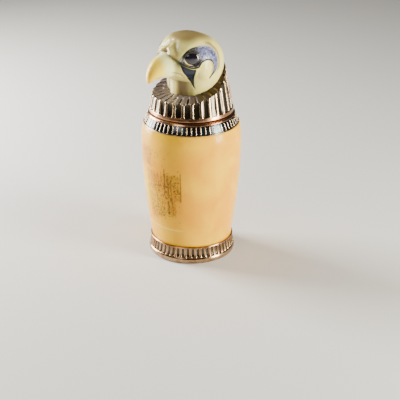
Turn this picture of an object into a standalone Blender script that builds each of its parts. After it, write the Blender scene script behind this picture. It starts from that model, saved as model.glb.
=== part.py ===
"""Falcon-headed canopic jar: a stone vessel on a fluted foot ring, closed by a lid in two fixed pieces.

Metres, +Z up. The jar's axis is Z, its foot stands on z = 0 and the falcon looks along -Y.
"""
import math

import bmesh
import bpy
import numpy as np
from mathutils import Vector

# Clearance between neighbouring pieces
GAP = 0.0003

# Stone vessel
JAR_HEIGHT = 0.1318
WAIST_HEIGHT = 0.018
BELLY_HEIGHT = 0.100
SHOULDER_START = 0.108
WAIST_RADIUS = 0.0360
BELLY_RADIUS = 0.0437
NECK_RADIUS = 0.0369
WALL = 0.006
FLOOR = 0.009
SHOULDER_POWER = 2.2
INNER_BEND = 0.010

# Foot ring
FOOT_HEIGHT = 0.0156
FOOT_RIM_HEIGHT = 0.0058
FOOT_LIP_HEIGHT = 0.0016
FOOT_RIM_SWELL = 0.0027
FOOT_RIM_ROUND = 0.0014
FOOT_RING_WALL = 0.0024
FOOT_FLUTES = 52
FOOT_FLUTE_DEPTH = 0.0009
FOOT_FLUTE_TWIST = math.radians(2.5)

# Ring around the shoulder
SHOULDER_RING_HEIGHT = 0.0100
SHOULDER_RING_WALL = 0.0016
SHOULDER_LIP = 0.0009
SHOULDER_LIP_PROUD = 0.0004

# Wig collar, which is the lid
PLUG_DEPTH = 0.0040
PLUG_WALL_LEFT = 0.0061
WIG_BAND = 0.0040
WIG_RIBS = 28
WIG_FLUTE_DEPTH = 0.0008
WIG_RIB_SHARE = 0.44
WIG_FLUTE_ROUND = 0.0014
WIG_TAPER_FRONT = 0.155
WIG_TAPER_BACK = 0.190
WIG_BEVEL_RISE = 0.22
# the outer rim's height over its seat, in equal turns from the front to the back
WIG_RIM = (0.0152, 0.0152, 0.0154, 0.0163, 0.0190, 0.0224, 0.0277, 0.0350, 0.0400, 0.0423, 0.0430)
SOCKET_DEPTH_LEFT = 0.0037

# Falcon's head, in hundredths of its own height: how far forward and how high its lower and its upper midline are,
# its half width, and how square the upper and the lower half of each section are
HEAD_SHARE = 1.772
HEAD_SECTIONS = (
    (30.7, 0.0, -33.0, 0.0, 32.2, 1.00, 1.00),
    (30.7, 13.8, -36.8, 19.9, 34.0, 1.00, 1.05),
    (30.7, 25.3, -40.2, 41.4, 37.4, 0.94, 1.15),
    (30.7, 33.7, -41.9, 60.0, 40.0, 0.88, 1.22),
    (31.0, 38.6, -38.3, 75.6, 41.2, 0.84, 1.25),
    (32.2, 41.2, -28.2, 87.9, 41.1, 0.80, 1.22),
    (34.0, 42.6, -12.6, 96.2, 40.0, 0.78, 1.15),
    (36.5, 43.7, 4.8, 99.9, 35.9, 0.80, 1.10),
    (39.3, 44.8, 18.4, 98.2, 30.6, 0.84, 1.05),
    (42.3, 46.0, 29.2, 92.7, 24.8, 0.90, 1.00),
    (45.0, 46.9, 37.0, 85.0, 20.2, 0.95, 0.90),
    (48.2, 47.7, 45.2, 80.2, 17.8, 1.00, 0.80),
    (51.8, 48.5, 54.0, 76.6, 14.9, 1.05, 0.75),
    (56.7, 48.5, 61.5, 71.2, 12.1, 1.10, 0.75),
    (61.7, 47.5, 67.5, 64.5, 9.1, 1.10, 0.80),
    (66.3, 45.7, 71.3, 56.9, 6.2, 1.05, 0.85),
    (69.3, 44.2, 72.4, 50.0, 3.6, 1.00, 0.90),
    (71.3, 43.4, 71.9, 45.1, 1.3, 1.00, 1.00),
)
HEAD_ROWS = 40
HEAD_COLUMNS = 30
SOCKET_SECTIONS = 5.6

# Carving of the head, in the same hundredths: outlines as (forward, up), lines and places as (to the side, forward, up)
PATCH_OUTLINE = ((37.6, 67.2), (34.8, 74.7), (31.5, 79.7), (24.8, 85.2), (17.6, 87.7), (11.0, 88.1), (2.6, 87.5),
                 (-4.9, 85.5), (-9.4, 81.3), (-12.1, 74.0), (-11.1, 65.5), (-8.6, 60.6), (0.2, 47.9), (2.7, 47.7),
                 (-0.8, 53.8), (-2.8, 60.0), (-1.8, 66.7), (1.4, 70.0), (7.0, 71.1), (13.3, 68.5), (18.4, 61.6),
                 (21.0, 57.8), (20.1, 51.2), (18.6, 33.9), (23.5, 46.4), (30.5, 55.0), (35.2, 60.3))
PATCH_DEPTH = 0.9
PATCH_EDGE = 1.2
PATCH_SIDE = 14.0
CHEEK = (30.0, 9.0, 57.0)
CHEEK_SIZE = (18.0, 10.5, 15.0)
CHEEK_RAISE = 1.3
BROW = ((21.6, 34.5, 79.6), (22.9, 29.0, 85.4), (23.7, 21.5, 90.6), (25.0, 12.7, 93.2), (26.5, 2.3, 92.8),
        (27.8, -8.2, 89.8))
BROW_RAISE = 1.1
BROW_WIDTH = 5.0
# the forehead's hood ends over the beak in an edge that falls to each side
HOOD_EDGE = 82.8
HOOD_FALL = 0.25
HOOD_BEND = 0.0125
HOOD_RAISE = 1.7
HOOD_WIDTH = 0.8
HOOD_REACH = 9.0
HOOD_AHEAD = 33.0
LOBE = ((3.5, 33.0, 90.0), (3.5, 38.5, 85.0), (8.0, 40.5, 81.5), (13.0, 40.5, 78.2))
LOBE_RAISE = 1.3
LOBE_WIDTH = 3.0
LOBE_HOLLOW = ((6.5, 32.0, 90.7), (10.3, 34.2, 87.4), (14.1, 37.0, 82.3), (17.0, 39.4, 77.5))
LOBE_HOLLOW_DEPTH = 1.3
LOBE_HOLLOW_WIDTH = 3.2
MIDDLE_GROOVE = ((0.0, 42.0, 83.0), (0.0, 38.0, 88.0), (0.0, 31.0, 94.5))
MIDDLE_GROOVE_DEPTH = 1.8
MIDDLE_GROOVE_WIDTH = 1.8
GAPE = ((16.6, 45.3, 56.6), (17.9, 41.5, 55.8), (20.3, 38.1, 55.4), (21.8, 34.9, 53.9), (20.9, 30.9, 50.3))
GAPE_DEPTH = 1.1
GAPE_WIDTH = 1.8
# the throat stands as a column between two hollows under the cheeks
THROAT_COLUMN = 8.0
THROAT_HOLLOW_END = 27.0
THROAT_HOLLOW_DEPTH = 2.2
THROAT_TOP = 43.0
THROAT_BACK = 13.0

# Eyes, in the same hundredths: half sizes out of the head, along it and up it
EYE_SIZE = (3.6, 11.3, 9.6)
EYE_CENTRE = (30.3, 23.3, 74.4)
EYE_TURN = math.radians(33)
EYE_SEGMENTS = 12
EYE_RINGS = 8

SIDES = 36


def clear_scene():
    for thing in list(bpy.data.objects):
        bpy.data.objects.remove(thing)


def new_collection(name):
    collection = bpy.data.collections.new(name)
    bpy.context.scene.collection.children.link(collection)
    return collection


def material(name, colour, roughness, metallic=0.0, coat=0.0, transmission=0.0):
    """A plain surface of one colour."""
    made = bpy.data.materials.new(name)
    made.use_nodes = True
    made.diffuse_color = (*colour, 1.0)
    shader = made.node_tree.nodes["Principled BSDF"]
    shader.inputs["Base Color"].default_value = (*colour, 1.0)
    shader.inputs["Roughness"].default_value = roughness
    shader.inputs["Metallic"].default_value = metallic
    shader.inputs["Coat Weight"].default_value = coat
    shader.inputs["Transmission Weight"].default_value = transmission
    return made


def new_object(name, mesh, collection, look=None):
    thing = bpy.data.objects.new(name, mesh)
    collection.objects.link(thing)
    if look:
        mesh.materials.append(look)
    return thing


def turned(name, profile, look, collection):
    """A profile of (radius, height) points up the outside and down the inside, turned about Z."""
    mesh = bpy.data.meshes.new(name)
    sketch = bmesh.new()
    corners = [sketch.verts.new((radius, 0.0, height)) for radius, height in reversed(profile)]
    on_axis = profile[0][0] == 0.0
    ends = corners if on_axis else corners + corners[:1]
    for first, second in zip(ends, ends[1:]):
        sketch.edges.new((first, second))
    sketch.to_mesh(mesh)
    sketch.free()
    thing = new_object(name, mesh, collection, look)
    screw = thing.modifiers.new("Turn", "SCREW")
    screw.axis = "Z"
    screw.steps = SIDES
    screw.render_steps = SIDES
    screw.use_merge_vertices = True
    screw.merge_threshold = 0.00005
    screw.use_smooth_shade = False
    return thing


def lofted(name, rows, look, collection, caps):
    """Rows of points joined into a skin, its ends closed by flat or fanned caps, or the last row joined to the first."""
    mesh = bpy.data.meshes.new(name)
    sketch = bmesh.new()
    rings = [[sketch.verts.new(point) for point in row] for row in rows]
    pairs = list(zip(rings, rings[1:]))
    if not caps:
        pairs.append((rings[-1], rings[0]))
    for lower, upper in pairs:
        for index in range(len(lower)):
            after = (index + 1) % len(lower)
            sketch.faces.new((lower[index], lower[after], upper[after], upper[index]))
    if caps:
        for ring in (rings[0], rings[-1]):
            centre = sum((corner.co for corner in ring), Vector()) / len(ring)
            hub = sketch.verts.new(centre)
            for index in range(len(ring)):
                sketch.faces.new((ring[index], ring[(index + 1) % len(ring)], hub))
    bmesh.ops.recalc_face_normals(sketch, faces=sketch.faces)
    bmesh.ops.triangulate(sketch, faces=sketch.faces, quad_method="FIXED")
    sketch.to_mesh(mesh)
    sketch.free()
    return new_object(name, mesh, collection, look)


def cut(thing, cutter):
    """Takes the cutter's volume out of the thing."""
    boolean = thing.modifiers.new("Cut " + cutter.name, "BOOLEAN")
    boolean.operation = "DIFFERENCE"
    boolean.solver = "EXACT"
    boolean.object = cutter
    cutter.hide_render = True
    cutter.display_type = "WIRE"


def polar(radius, angle, height):
    """A point at an angle from the front, turning towards +X."""
    return Vector((radius * math.sin(angle), -radius * math.cos(angle), height))


def jar_radius(height):
    """The stone vessel's outer radius, before its rings are let in."""
    if height <= WAIST_HEIGHT:
        return WAIST_RADIUS
    if height <= BELLY_HEIGHT:
        rise = (height - WAIST_HEIGHT) / (BELLY_HEIGHT - WAIST_HEIGHT)
        return WAIST_RADIUS + (BELLY_RADIUS - WAIST_RADIUS) * math.sin(0.5 * math.pi * rise)
    if height <= SHOULDER_START:
        return BELLY_RADIUS
    fall = (height - SHOULDER_START) / (JAR_HEIGHT - SHOULDER_START)
    return BELLY_RADIUS - (BELLY_RADIUS - NECK_RADIUS) * min(fall, 1.0) ** SHOULDER_POWER


def mouth_radius():
    return NECK_RADIUS - SHOULDER_RING_WALL - GAP - PLUG_WALL_LEFT


def steps(low, high, count):
    return [low + (high - low) * index / count for index in range(count + 1)]


def make_jar(collection, look):
    """The hollow vessel, let in under both rings."""
    ring_low = JAR_HEIGHT - SHOULDER_RING_HEIGHT
    let_in = SHOULDER_RING_WALL + GAP
    foot = WAIST_RADIUS - FOOT_RING_WALL - GAP
    ledge = FOOT_HEIGHT + GAP
    inside_foot = foot - WALL
    outer = [(0.0, 0.0), (foot, 0.0), (foot, ledge)]
    outer += [(jar_radius(height), height) for height in steps(ledge, SHOULDER_START, 5)]
    outer += [(jar_radius(height), height) for height in steps(SHOULDER_START, ring_low - GAP, 3)[1:]]
    outer += [(jar_radius(height) - let_in, height) for height in steps(ring_low - GAP, JAR_HEIGHT, 2)]
    bend = FLOOR + INNER_BEND
    inner = [(mouth_radius(), JAR_HEIGHT), (mouth_radius(), JAR_HEIGHT - PLUG_DEPTH - WALL)]
    inner += [(jar_radius(height) - WALL, height) for height in steps(SHOULDER_START, bend, 3)]
    inner += [(inside_foot, FLOOR), (0.0, FLOOR)]
    return turned("jar_body", outer + inner, look, collection)


def make_shoulder_ring(collection, look):
    """A turned ring that follows the shoulder, with a lip at its lower edge."""
    low = JAR_HEIGHT - SHOULDER_RING_HEIGHT
    lip_top = low + SHOULDER_LIP
    outer = [(jar_radius(low) + SHOULDER_LIP_PROUD, low), (jar_radius(lip_top) + SHOULDER_LIP_PROUD, lip_top)]
    outer += [(jar_radius(height), height) for height in steps(lip_top, JAR_HEIGHT, 3)]
    inner = [(jar_radius(height) - SHOULDER_RING_WALL, height) for height in steps(JAR_HEIGHT, low, 2)]
    return turned("shoulder_ring", outer + inner, look, collection)


def make_foot_ring(collection, look):
    """A ring with a smooth rim below, slanting flutes above it and a thin lip on top."""
    inner = WAIST_RADIUS - FOOT_RING_WALL
    rim = WAIST_RADIUS + FOOT_RIM_SWELL
    flute_low = FOOT_RIM_HEIGHT
    flute_high = FOOT_HEIGHT - FOOT_LIP_HEIGHT
    neck = WAIST_RADIUS + 0.5 * (FOOT_FLUTE_DEPTH + GAP)
    shoulder = rim - 0.4 * FOOT_RIM_ROUND
    # radius, height, how deep the flutes cut, and how far they have slanted
    levels = (
        (inner, 0.0, 0.0, 0.0),
        (rim - FOOT_RIM_ROUND, 0.0, 0.0, 0.0),
        (rim, FOOT_RIM_ROUND, 0.0, 0.0),
        (shoulder, flute_low, 0.0, 0.0),
        (shoulder - 0.1 * FOOT_RIM_SWELL, flute_low + FOOT_FLUTE_DEPTH, 1.0, 0.0),
        (neck, flute_high - FOOT_FLUTE_DEPTH, 1.0, 1.0),
        (neck, flute_high, 0.0, 1.0),
        (neck + 0.5 * FOOT_LIP_HEIGHT, FOOT_HEIGHT - 0.5 * FOOT_LIP_HEIGHT, 0.0, 1.0),
        (neck, FOOT_HEIGHT, 0.0, 1.0),
        (inner, FOOT_HEIGHT, 0.0, 1.0),
    )
    columns = 2 * FOOT_FLUTES
    rows = []
    for radius, height, depth, slant in levels:
        row = []
        for column in range(columns):
            angle = 2 * math.pi * column / columns + slant * FOOT_FLUTE_TWIST
            row.append(polar(radius - FOOT_FLUTE_DEPTH * depth * (column % 2), angle, height))
        rows.append(row)
    return lofted("foot_ring", rows, look, collection, caps=False)


def wig_rim(angle):
    """Height of the collar's outer rim over its seat, at an angle from the front."""
    turn = abs(math.remainder(angle, 2 * math.pi)) / math.pi
    return float(spline(WIG_RIM, np.array([turn * (len(WIG_RIM) - 1)]))[0])


def wig_radius(angle, rise):
    back = 0.5 - 0.5 * math.cos(angle)
    taper = WIG_TAPER_FRONT + (WIG_TAPER_BACK - WIG_TAPER_FRONT) * back
    return NECK_RADIUS - taper * rise


def make_wig(collection, look):
    """A conical collar, low in front and high behind, with upright flutes, a band below and a plug under it."""
    seat = JAR_HEIGHT + GAP
    plug = mouth_radius() - GAP
    pitch = 2 * math.pi / WIG_RIBS
    half_rib = 0.5 * WIG_RIB_SHARE
    half_flute = 0.5 * (0.5 - half_rib)
    # place across one pitch and how deep it lies in the flute
    across = ((-half_rib, 0.0), (half_rib, 0.0), (0.5 - half_flute, 1.0), (0.5 + half_flute, 1.0))
    columns = [((rib + place) * pitch, deep) for rib in range(WIG_RIBS) for place, deep in across]
    flute_low = WIG_BAND
    # height as a rise over the seat and a share of the way to the rim, and how deep the flutes cut there
    levels = ((0.0, 0.0, 0.0), (flute_low, 0.0, 0.0), (flute_low + WIG_FLUTE_ROUND, 0.0, 1.0), (0.0, 1.0, 1.0))
    rows = [[polar(plug, angle, seat - PLUG_DEPTH) for angle, _ in columns],
            [polar(plug, angle, seat) for angle, _ in columns]]
    for rise, share, cut_depth in levels:
        row = []
        for angle, deep in columns:
            height = rise + share * wig_rim(angle)
            radius = wig_radius(angle, height) - WIG_FLUTE_DEPTH * cut_depth * deep
            row.append(polar(radius, angle, seat + height))
        rows.append(row)
    top = []
    for angle, _ in columns:
        inner = 0.46 * NECK_RADIUS + 0.16 * NECK_RADIUS * (0.5 - 0.5 * math.cos(angle))
        rise = wig_rim(angle) + WIG_BEVEL_RISE * (wig_radius(angle, wig_rim(angle)) - inner)
        top.append(polar(inner, angle, seat + rise))
    rows.append(top)
    return lofted("wig_collar", rows, look, collection, caps=True)


def spline(values, places):
    """A natural cubic spline through values at whole numbers, read at places."""
    values = np.asarray(values, float)
    count = len(values)
    system = np.eye(count)
    bend = np.zeros_like(values)
    for index in range(1, count - 1):
        system[index, index - 1:index + 2] = (1, 4, 1)
        bend[index] = 6 * (values[index + 1] - 2 * values[index] + values[index - 1])
    curve = np.linalg.solve(system, bend)
    low = np.clip(np.floor(places).astype(int), 0, count - 2)
    share = (places - low)[:, None]
    rest = 1 - share
    if values.ndim == 1:
        share = share[:, 0]
        rest = rest[:, 0]
    return (rest * values[low] + share * values[low + 1]
            + (rest ** 3 - rest) * curve[low] / 6 + (share ** 3 - share) * curve[low + 1] / 6)


def head_sections(rows, columns):
    """Smooth head without its carving, as [row, column] points (to the side, forward, up) in hundredths."""
    places = np.linspace(0, len(HEAD_SECTIONS) - 1, rows)
    low_forward, low_up, high_forward, high_up, width, high_form, low_form = (
        column[:, None] for column in spline(HEAD_SECTIONS, places).T)
    around = np.linspace(0, 2 * np.pi, columns, endpoint=False)[None, :]
    upper = 0.5 + 0.5 * np.cos(around)
    form = low_form + (high_form - low_form) * upper
    side = width * np.sign(np.sin(around)) * np.abs(np.sin(around)) ** form
    forward = low_forward + (high_forward - low_forward) * upper
    up = low_up + (high_up - low_up) * upper
    return np.stack([side, forward, up], axis=2)


def outward(points):
    """Unit normals of a grid that is closed around its columns."""
    along = np.gradient(points, axis=0)
    around = np.roll(points, -1, axis=1) - np.roll(points, 1, axis=1)
    normal = np.cross(around, along)
    length = np.linalg.norm(normal, axis=2, keepdims=True)
    return normal / np.maximum(length, 1e-9)


def ease(value):
    value = np.clip(value, 0.0, 1.0)
    return value * value * (3 - 2 * value)


def near_line(points, line):
    """Distance from every point to a bent line."""
    best = np.full(points.shape[:-1], np.inf)
    for start, end in zip(line, line[1:]):
        start = np.array(start)
        way = np.array(end) - start
        share = np.clip(((points - start) @ way) / (way @ way), 0, 1)
        best = np.minimum(best, np.linalg.norm(points - start - share[..., None] * way, axis=-1))
    return best


def outline_distance(forward, up, outline):
    """Distance to a closed outline in the side view, positive inside."""
    inside = np.zeros(forward.shape, bool)
    best = np.full(forward.shape, np.inf)
    for (a, b), (c, d) in zip(outline, outline[1:] + outline[:1]):
        crosses = (b > up) != (d > up)
        inside ^= crosses & (forward < (c - a) * (up - b) / ((d - b) or 1e-9) + a)
        share = np.clip(((forward - a) * (c - a) + (up - b) * (d - b)) / ((c - a) ** 2 + (d - b) ** 2), 0, 1)
        best = np.minimum(best, np.hypot(forward - a - share * (c - a), up - b - share * (d - b)))
    return np.where(inside, best, -best)


def carving(points):
    """How far each point of the smooth head moves outwards, in hundredths."""
    side, forward, up = np.abs(points[..., 0]), points[..., 1], points[..., 2]
    folded = np.stack([side, forward, up], axis=-1)
    patch = outline_distance(forward, up, PATCH_OUTLINE)
    move = -PATCH_DEPTH * ease((side - PATCH_SIDE) / 4.0) * ease(0.5 + patch / PATCH_EDGE)
    cheek = sum(((folded[..., axis] - CHEEK[axis]) / CHEEK_SIZE[axis]) ** 2 for axis in range(3))
    move = move + CHEEK_RAISE * ease(1 - cheek)
    over = up - HOOD_EDGE + HOOD_FALL * side + HOOD_BEND * side ** 2
    fading = np.exp(-(over / HOOD_REACH) ** 2)
    move = move + HOOD_RAISE * np.tanh(over / HOOD_WIDTH) * fading * ease((forward - HOOD_AHEAD) / 6.0)
    hollow = ease((side - THROAT_COLUMN) / 5.0) * ease((THROAT_HOLLOW_END - side) / 10.0)
    hollow = hollow * ease((THROAT_TOP - up) / 3.0) * ease((forward - THROAT_BACK) / 8.0)
    move = move - THROAT_HOLLOW_DEPTH * hollow
    for line, raised, width in ((BROW, BROW_RAISE, BROW_WIDTH),
                                (LOBE, LOBE_RAISE, LOBE_WIDTH),
                                (LOBE_HOLLOW, -LOBE_HOLLOW_DEPTH, LOBE_HOLLOW_WIDTH),
                                (MIDDLE_GROOVE, -MIDDLE_GROOVE_DEPTH, MIDDLE_GROOVE_WIDTH),
                                (GAPE, -GAPE_DEPTH, GAPE_WIDTH)):
        move = move + raised * np.exp(-(near_line(folded, line) / width) ** 2)
    return move


def head_unit():
    """One hundredth of the head's height."""
    return 0.01 * HEAD_SHARE * NECK_RADIUS


def head_place(side, forward, up):
    """A point of the head, from hundredths to metres."""
    base = JAR_HEIGHT + GAP + SOCKET_DEPTH_LEFT + GAP
    unit = head_unit()
    return Vector((side * unit, -forward * unit, base + up * unit))


def make_head(collection, cutters, look, wig):
    """The falcon's head and neck, and the socket that it stands in."""
    smooth = head_sections(HEAD_ROWS, HEAD_COLUMNS)
    normal = outward(smooth)
    carved = smooth + normal * carving(smooth)[..., None]
    rows = [[head_place(*point) for point in row] for row in carved]
    head = lofted("falcon_head", rows, look, collection, caps=True)
    grown = carved + normal * (GAP / head_unit())
    grown[0, :, 2] = -GAP / head_unit()
    last = int(SOCKET_SECTIONS * (HEAD_ROWS - 1) / (len(HEAD_SECTIONS) - 1)) + 1
    socket_rows = [[head_place(*point) for point in row] for row in grown[:last]]
    socket = lofted("head_socket", socket_rows, None, cutters, caps=True)
    cut(wig, socket)
    return head


def eye_lens(name, grow, collection, look, side):
    """A flattened ball, turned to face out of the head."""
    mesh = bpy.data.meshes.new(name)
    ball = bmesh.new()
    bmesh.ops.create_uvsphere(ball, u_segments=EYE_SEGMENTS, v_segments=EYE_RINGS, radius=1.0)
    sizes = [size * head_unit() + grow for size in EYE_SIZE]
    for corner in ball.verts:
        corner.co = Vector((corner.co.z * sizes[0], corner.co.x * sizes[1], corner.co.y * sizes[2]))
    ball.to_mesh(mesh)
    ball.free()
    thing = new_object(name, mesh, collection, look)
    thing.location = head_place(side * EYE_CENTRE[0], *EYE_CENTRE[1:])
    thing.rotation_euler.z = -side * EYE_TURN
    return thing


def make_eyes(collection, cutters, look, head):
    """Two glass lenses let into sockets of their own shape."""
    for name, side in (("eye_left", 1), ("eye_right", -1)):
        eye_lens(name, 0.0, collection, look, side)
        socket = eye_lens(name + "_socket", GAP, cutters, None, side)
        cut(head, socket)


def main():
    clear_scene()
    parts = new_collection("canopic_jar")
    cutters = new_collection("cutters")
    stone = material("honey stone", (0.80, 0.50, 0.22), 0.25, coat=0.3, transmission=0.2)
    gilt = material("gilt metal", (0.72, 0.45, 0.24), 0.3, metallic=1.0)
    gilt_enamel = material("gilt and dark enamel", (0.42, 0.30, 0.17), 0.3, metallic=0.8)
    ivory = material("ivory glaze", (0.80, 0.74, 0.52), 0.25, coat=0.5)
    glass = material("dark glass", (0.03, 0.025, 0.03), 0.05, coat=1.0)
    make_jar(parts, stone)
    make_foot_ring(parts, gilt)
    make_shoulder_ring(parts, gilt_enamel)
    wig = make_wig(parts, gilt_enamel)
    head = make_head(parts, cutters, ivory, wig)
    make_eyes(parts, cutters, glass, head)


main()
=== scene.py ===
"""The looks of the falcon-headed canopic jar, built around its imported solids.

Metres, +Z up. The jar's axis is Z, its foot stands on z = 0 and the falcon looks along -Y.
"""
import math

import bmesh
import bpy
import numpy as np
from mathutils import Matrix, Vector


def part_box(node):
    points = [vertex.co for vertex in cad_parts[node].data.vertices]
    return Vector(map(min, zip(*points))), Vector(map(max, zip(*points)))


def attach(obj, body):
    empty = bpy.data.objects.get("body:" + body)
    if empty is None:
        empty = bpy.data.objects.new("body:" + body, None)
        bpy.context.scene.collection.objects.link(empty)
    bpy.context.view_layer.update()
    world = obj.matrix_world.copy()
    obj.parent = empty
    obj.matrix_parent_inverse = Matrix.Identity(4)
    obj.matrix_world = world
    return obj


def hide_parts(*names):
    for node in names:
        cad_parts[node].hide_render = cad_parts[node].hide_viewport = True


bl_info = {
    "name": "Falcon canopic jar",
    "version": (1, 0, 0),
    "blender": (4, 5, 0),
    "location": "3D View > Sidebar > Canopic Jar",
    "description": "Dresses the solids of a falcon-headed canopic jar",
    "category": "Object",
}

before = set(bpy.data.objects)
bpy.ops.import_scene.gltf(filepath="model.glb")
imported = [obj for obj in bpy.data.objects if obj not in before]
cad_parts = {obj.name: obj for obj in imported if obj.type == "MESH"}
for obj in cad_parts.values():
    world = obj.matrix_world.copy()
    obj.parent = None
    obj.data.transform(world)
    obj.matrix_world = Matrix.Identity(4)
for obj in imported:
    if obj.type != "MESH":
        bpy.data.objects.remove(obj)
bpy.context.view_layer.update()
JAR_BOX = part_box("jar_body")
FOOT_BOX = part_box("foot_ring")
SHOULDER_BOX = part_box("shoulder_ring")
HEAD_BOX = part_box("falcon_head")

# Clearance between pieces, how far a stave or a fill runs into what carries it, and softened corners
GAP = 0.0003
ROOT = 0.0003
SOFT_EDGE = 0.0004

# What stands for 1 in the curves of the node trees
CURVE_SCALE = 0.1

# Sizes that the solids give
JAR_HEIGHT = JAR_BOX[1][2]
BELLY_RADIUS = JAR_BOX[1][0]
FOOT_RADIUS = FOOT_BOX[1][0]
FOOT_HEIGHT = FOOT_BOX[1][2]
SHOULDER_LOW = SHOULDER_BOX[0][2]
SEAT = JAR_HEIGHT + GAP
HEAD_BASE = HEAD_BOX[0][2]

# Stone vessel
WAIST_HEIGHT = 0.018
BELLY_HEIGHT = 0.100
SHOULDER_START = 0.108
WAIST_RADIUS = FOOT_RADIUS - 0.0027
NECK_RADIUS = 0.0369
WALL = 0.006
FLOOR = 0.009
SHOULDER_POWER = 2.2
RING_WALL = 0.0016
FOOT_WALL = 0.0024
MOUTH_RADIUS = NECK_RADIUS - RING_WALL - GAP - 0.0061
PLUG_DEPTH = 0.0040
NECK_EDGE = 0.0006
# Rounding between the wall and the floor inside: its size, how far out it starts, and where the wall ends
COVE = 0.003
COVE_OUT = 0.001
COVE_TOP = 0.010
# Upright rules of the cut panel: degrees from the front, lowest and highest point, strength
PANEL_RULES = ((37.5, 0.061, 0.086, 1.0), (17.5, 0.067, 0.089, 1.0), (22.6, 0.064, 0.083, 0.9),
               (25.5, 0.070, 0.082, 0.7), (21.8, 0.048, 0.060, 1.0), (27.0, 0.047, 0.062, 0.8),
               (12.5, 0.072, 0.086, 0.6), (6.0, 0.044, 0.082, 0.35), (-3.0, 0.043, 0.084, 0.35))
# Parts of the panel: degrees from the front, height, both as lowest and highest, and how crowded it is
PANEL_PARTS = ((15.0, 38.2, 0.061, 0.086, 1.0), (18.0, 31.0, 0.046, 0.063, 0.85),
               (2.0, 17.0, 0.043, 0.084, 0.75), (-12.0, 4.0, 0.040, 0.086, 0.6),
               (-26.0, -2.0, 0.089, 0.106, 0.65), (-34.0, 36.0, 0.038, 0.110, 0.1))
# Mesh under the panel: its spacing across in radians and up in metres, its margin in radians, and the
# sides around the rest of the jar
PANEL_GRID_TURN = 0.0066
PANEL_GRID_RISE = 0.00031
PANEL_MARGIN = 0.05
REST_SIDES = 90
# Heights where the mesh's rows lie close, at the pale line and at the panel, and where the others stop
RIDGE_ROWS = (0.0304, 0.0332)
PANEL_ROWS = (0.0336, 0.1140)
LOW_ROWS_END = 0.0300
HIGH_ROWS_START = 0.1144
# The pale line low on the front, a ridge with a painted highlight: its height, half width, how far it stands
# out, and degrees that it reaches
RIDGE_HEIGHT = 0.0318
RIDGE_WIDTH = 0.0008
RIDGE_RAISE = 0.0004
RIDGE_TURN = 44.0

# Rings
FOOT_RIM_HEIGHT = 0.0058
FOOT_RIM_SWELL = 0.0017
FOOT_LIP_HEIGHT = 0.0016
FOOT_LIP_SWELL = 0.0009
FOOT_FLUTE_DEPTH = 0.0009
FOOT_SET_BACK = 0.0006
FOOT_HOLLOW = 0.0003
SHOULDER_LIP = 0.0008
SHOULDER_LIP_SWELL = 0.0003
SHOULDER_BAND = 0.0023
SEAM = 0.0008
STAVE_CREST = 0.00035
STAVE_START = math.radians(50.2)
NOTCH_CREST = 0.00012
# Staves, tongues and notches: half widths in shares of the pitch, and ends in shares of the way up
STAVE_HALF = 0.135
TONGUE_HALF = 0.27
TONGUE_SPREAD = 0.22
TONGUE_END = 0.16
NOTCH_HALF = (0.015, 0.115)
NOTCH_ENDS = (0.66, 0.92)

# Wig: heights of its rim at equal turns from the front to the back, and its other sizes
WIG_RIM = (0.0152, 0.0152, 0.0154, 0.0163, 0.0190, 0.0224, 0.0277, 0.0350, 0.0400, 0.0423, 0.0430)
ARCH_SHARE = 0.10
WIG_BAND = 0.0036
WIG_FLUTE_DEPTH = 0.0008
WIG_ARCH = 0.0018
WIG_TAPER_FRONT = 0.155
WIG_TAPER_BACK = 0.190
WIG_TOP_DROP = 0.0004
RIB_INTO_NECK = 0.0006
WIG_BEVEL_RISE = 0.22
WIG_BEVEL_GROOVE = 0.0004
WIG_FLUTE_SAMPLES = 12
WIG_RIB_HALF = 0.175
WIG_HOLLOW = 0.0005
# The wig's opening for the neck: its radius at the front and how much more at the back, in neck radii
WIG_INNER_FRONT = 0.46
WIG_INNER_MORE = 0.16
# The bevel's lining: half width, where it closes, and where it turns dull and, in degrees, where painted
# shade darkens it
BEVEL_HALF = 0.37
BEVEL_CLOSE = 1.68
BEVEL_FROM = 0.0004
BEVEL_OVER = 0.0008
BEVEL_DARK_FROM = 32.0
BEVEL_DARK_OVER = 42.0

# Falcon's head, in hundredths of its own height: forward and up of the lower and of the upper midline,
# half width, and how square the upper and the lower half of each section are
HEAD_UNIT = 0.01 * 1.772 * NECK_RADIUS
HEAD_SECTIONS = (
    (30.7, 0.0, -33.0, 0.0, 32.2, 1.00, 1.00),
    (30.7, 13.8, -36.8, 19.9, 34.0, 1.00, 1.05),
    (30.7, 25.3, -40.2, 41.4, 37.4, 0.94, 1.15),
    (30.7, 33.7, -41.9, 60.0, 40.0, 0.88, 1.22),
    (31.0, 38.6, -38.3, 75.6, 41.2, 0.84, 1.25),
    (32.2, 41.2, -28.2, 87.9, 41.1, 0.80, 1.22),
    (34.0, 42.6, -12.6, 96.2, 40.0, 0.78, 1.15),
    (36.5, 43.7, 4.8, 99.9, 35.9, 0.80, 1.10),
    (39.3, 44.8, 18.4, 98.2, 30.6, 0.84, 1.05),
    (42.3, 46.0, 29.2, 92.7, 24.8, 0.90, 1.00),
    (45.0, 46.9, 37.0, 85.0, 20.2, 0.95, 0.90),
    (48.2, 47.7, 45.2, 80.2, 17.8, 1.00, 0.80),
    (51.8, 48.5, 54.0, 76.6, 14.9, 1.05, 0.75),
    (56.7, 48.5, 61.5, 71.2, 12.1, 1.10, 0.75),
    (61.7, 47.5, 67.5, 64.5, 9.1, 1.10, 0.80),
    (66.3, 45.7, 71.3, 56.9, 6.2, 1.05, 0.85),
    (69.3, 44.2, 72.4, 50.0, 3.6, 1.00, 0.90),
    (71.3, 43.4, 71.9, 45.1, 1.3, 1.00, 1.00),
)
SOCKET_SECTIONS = 5.6
SOCKET_ROWS = 90

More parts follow.
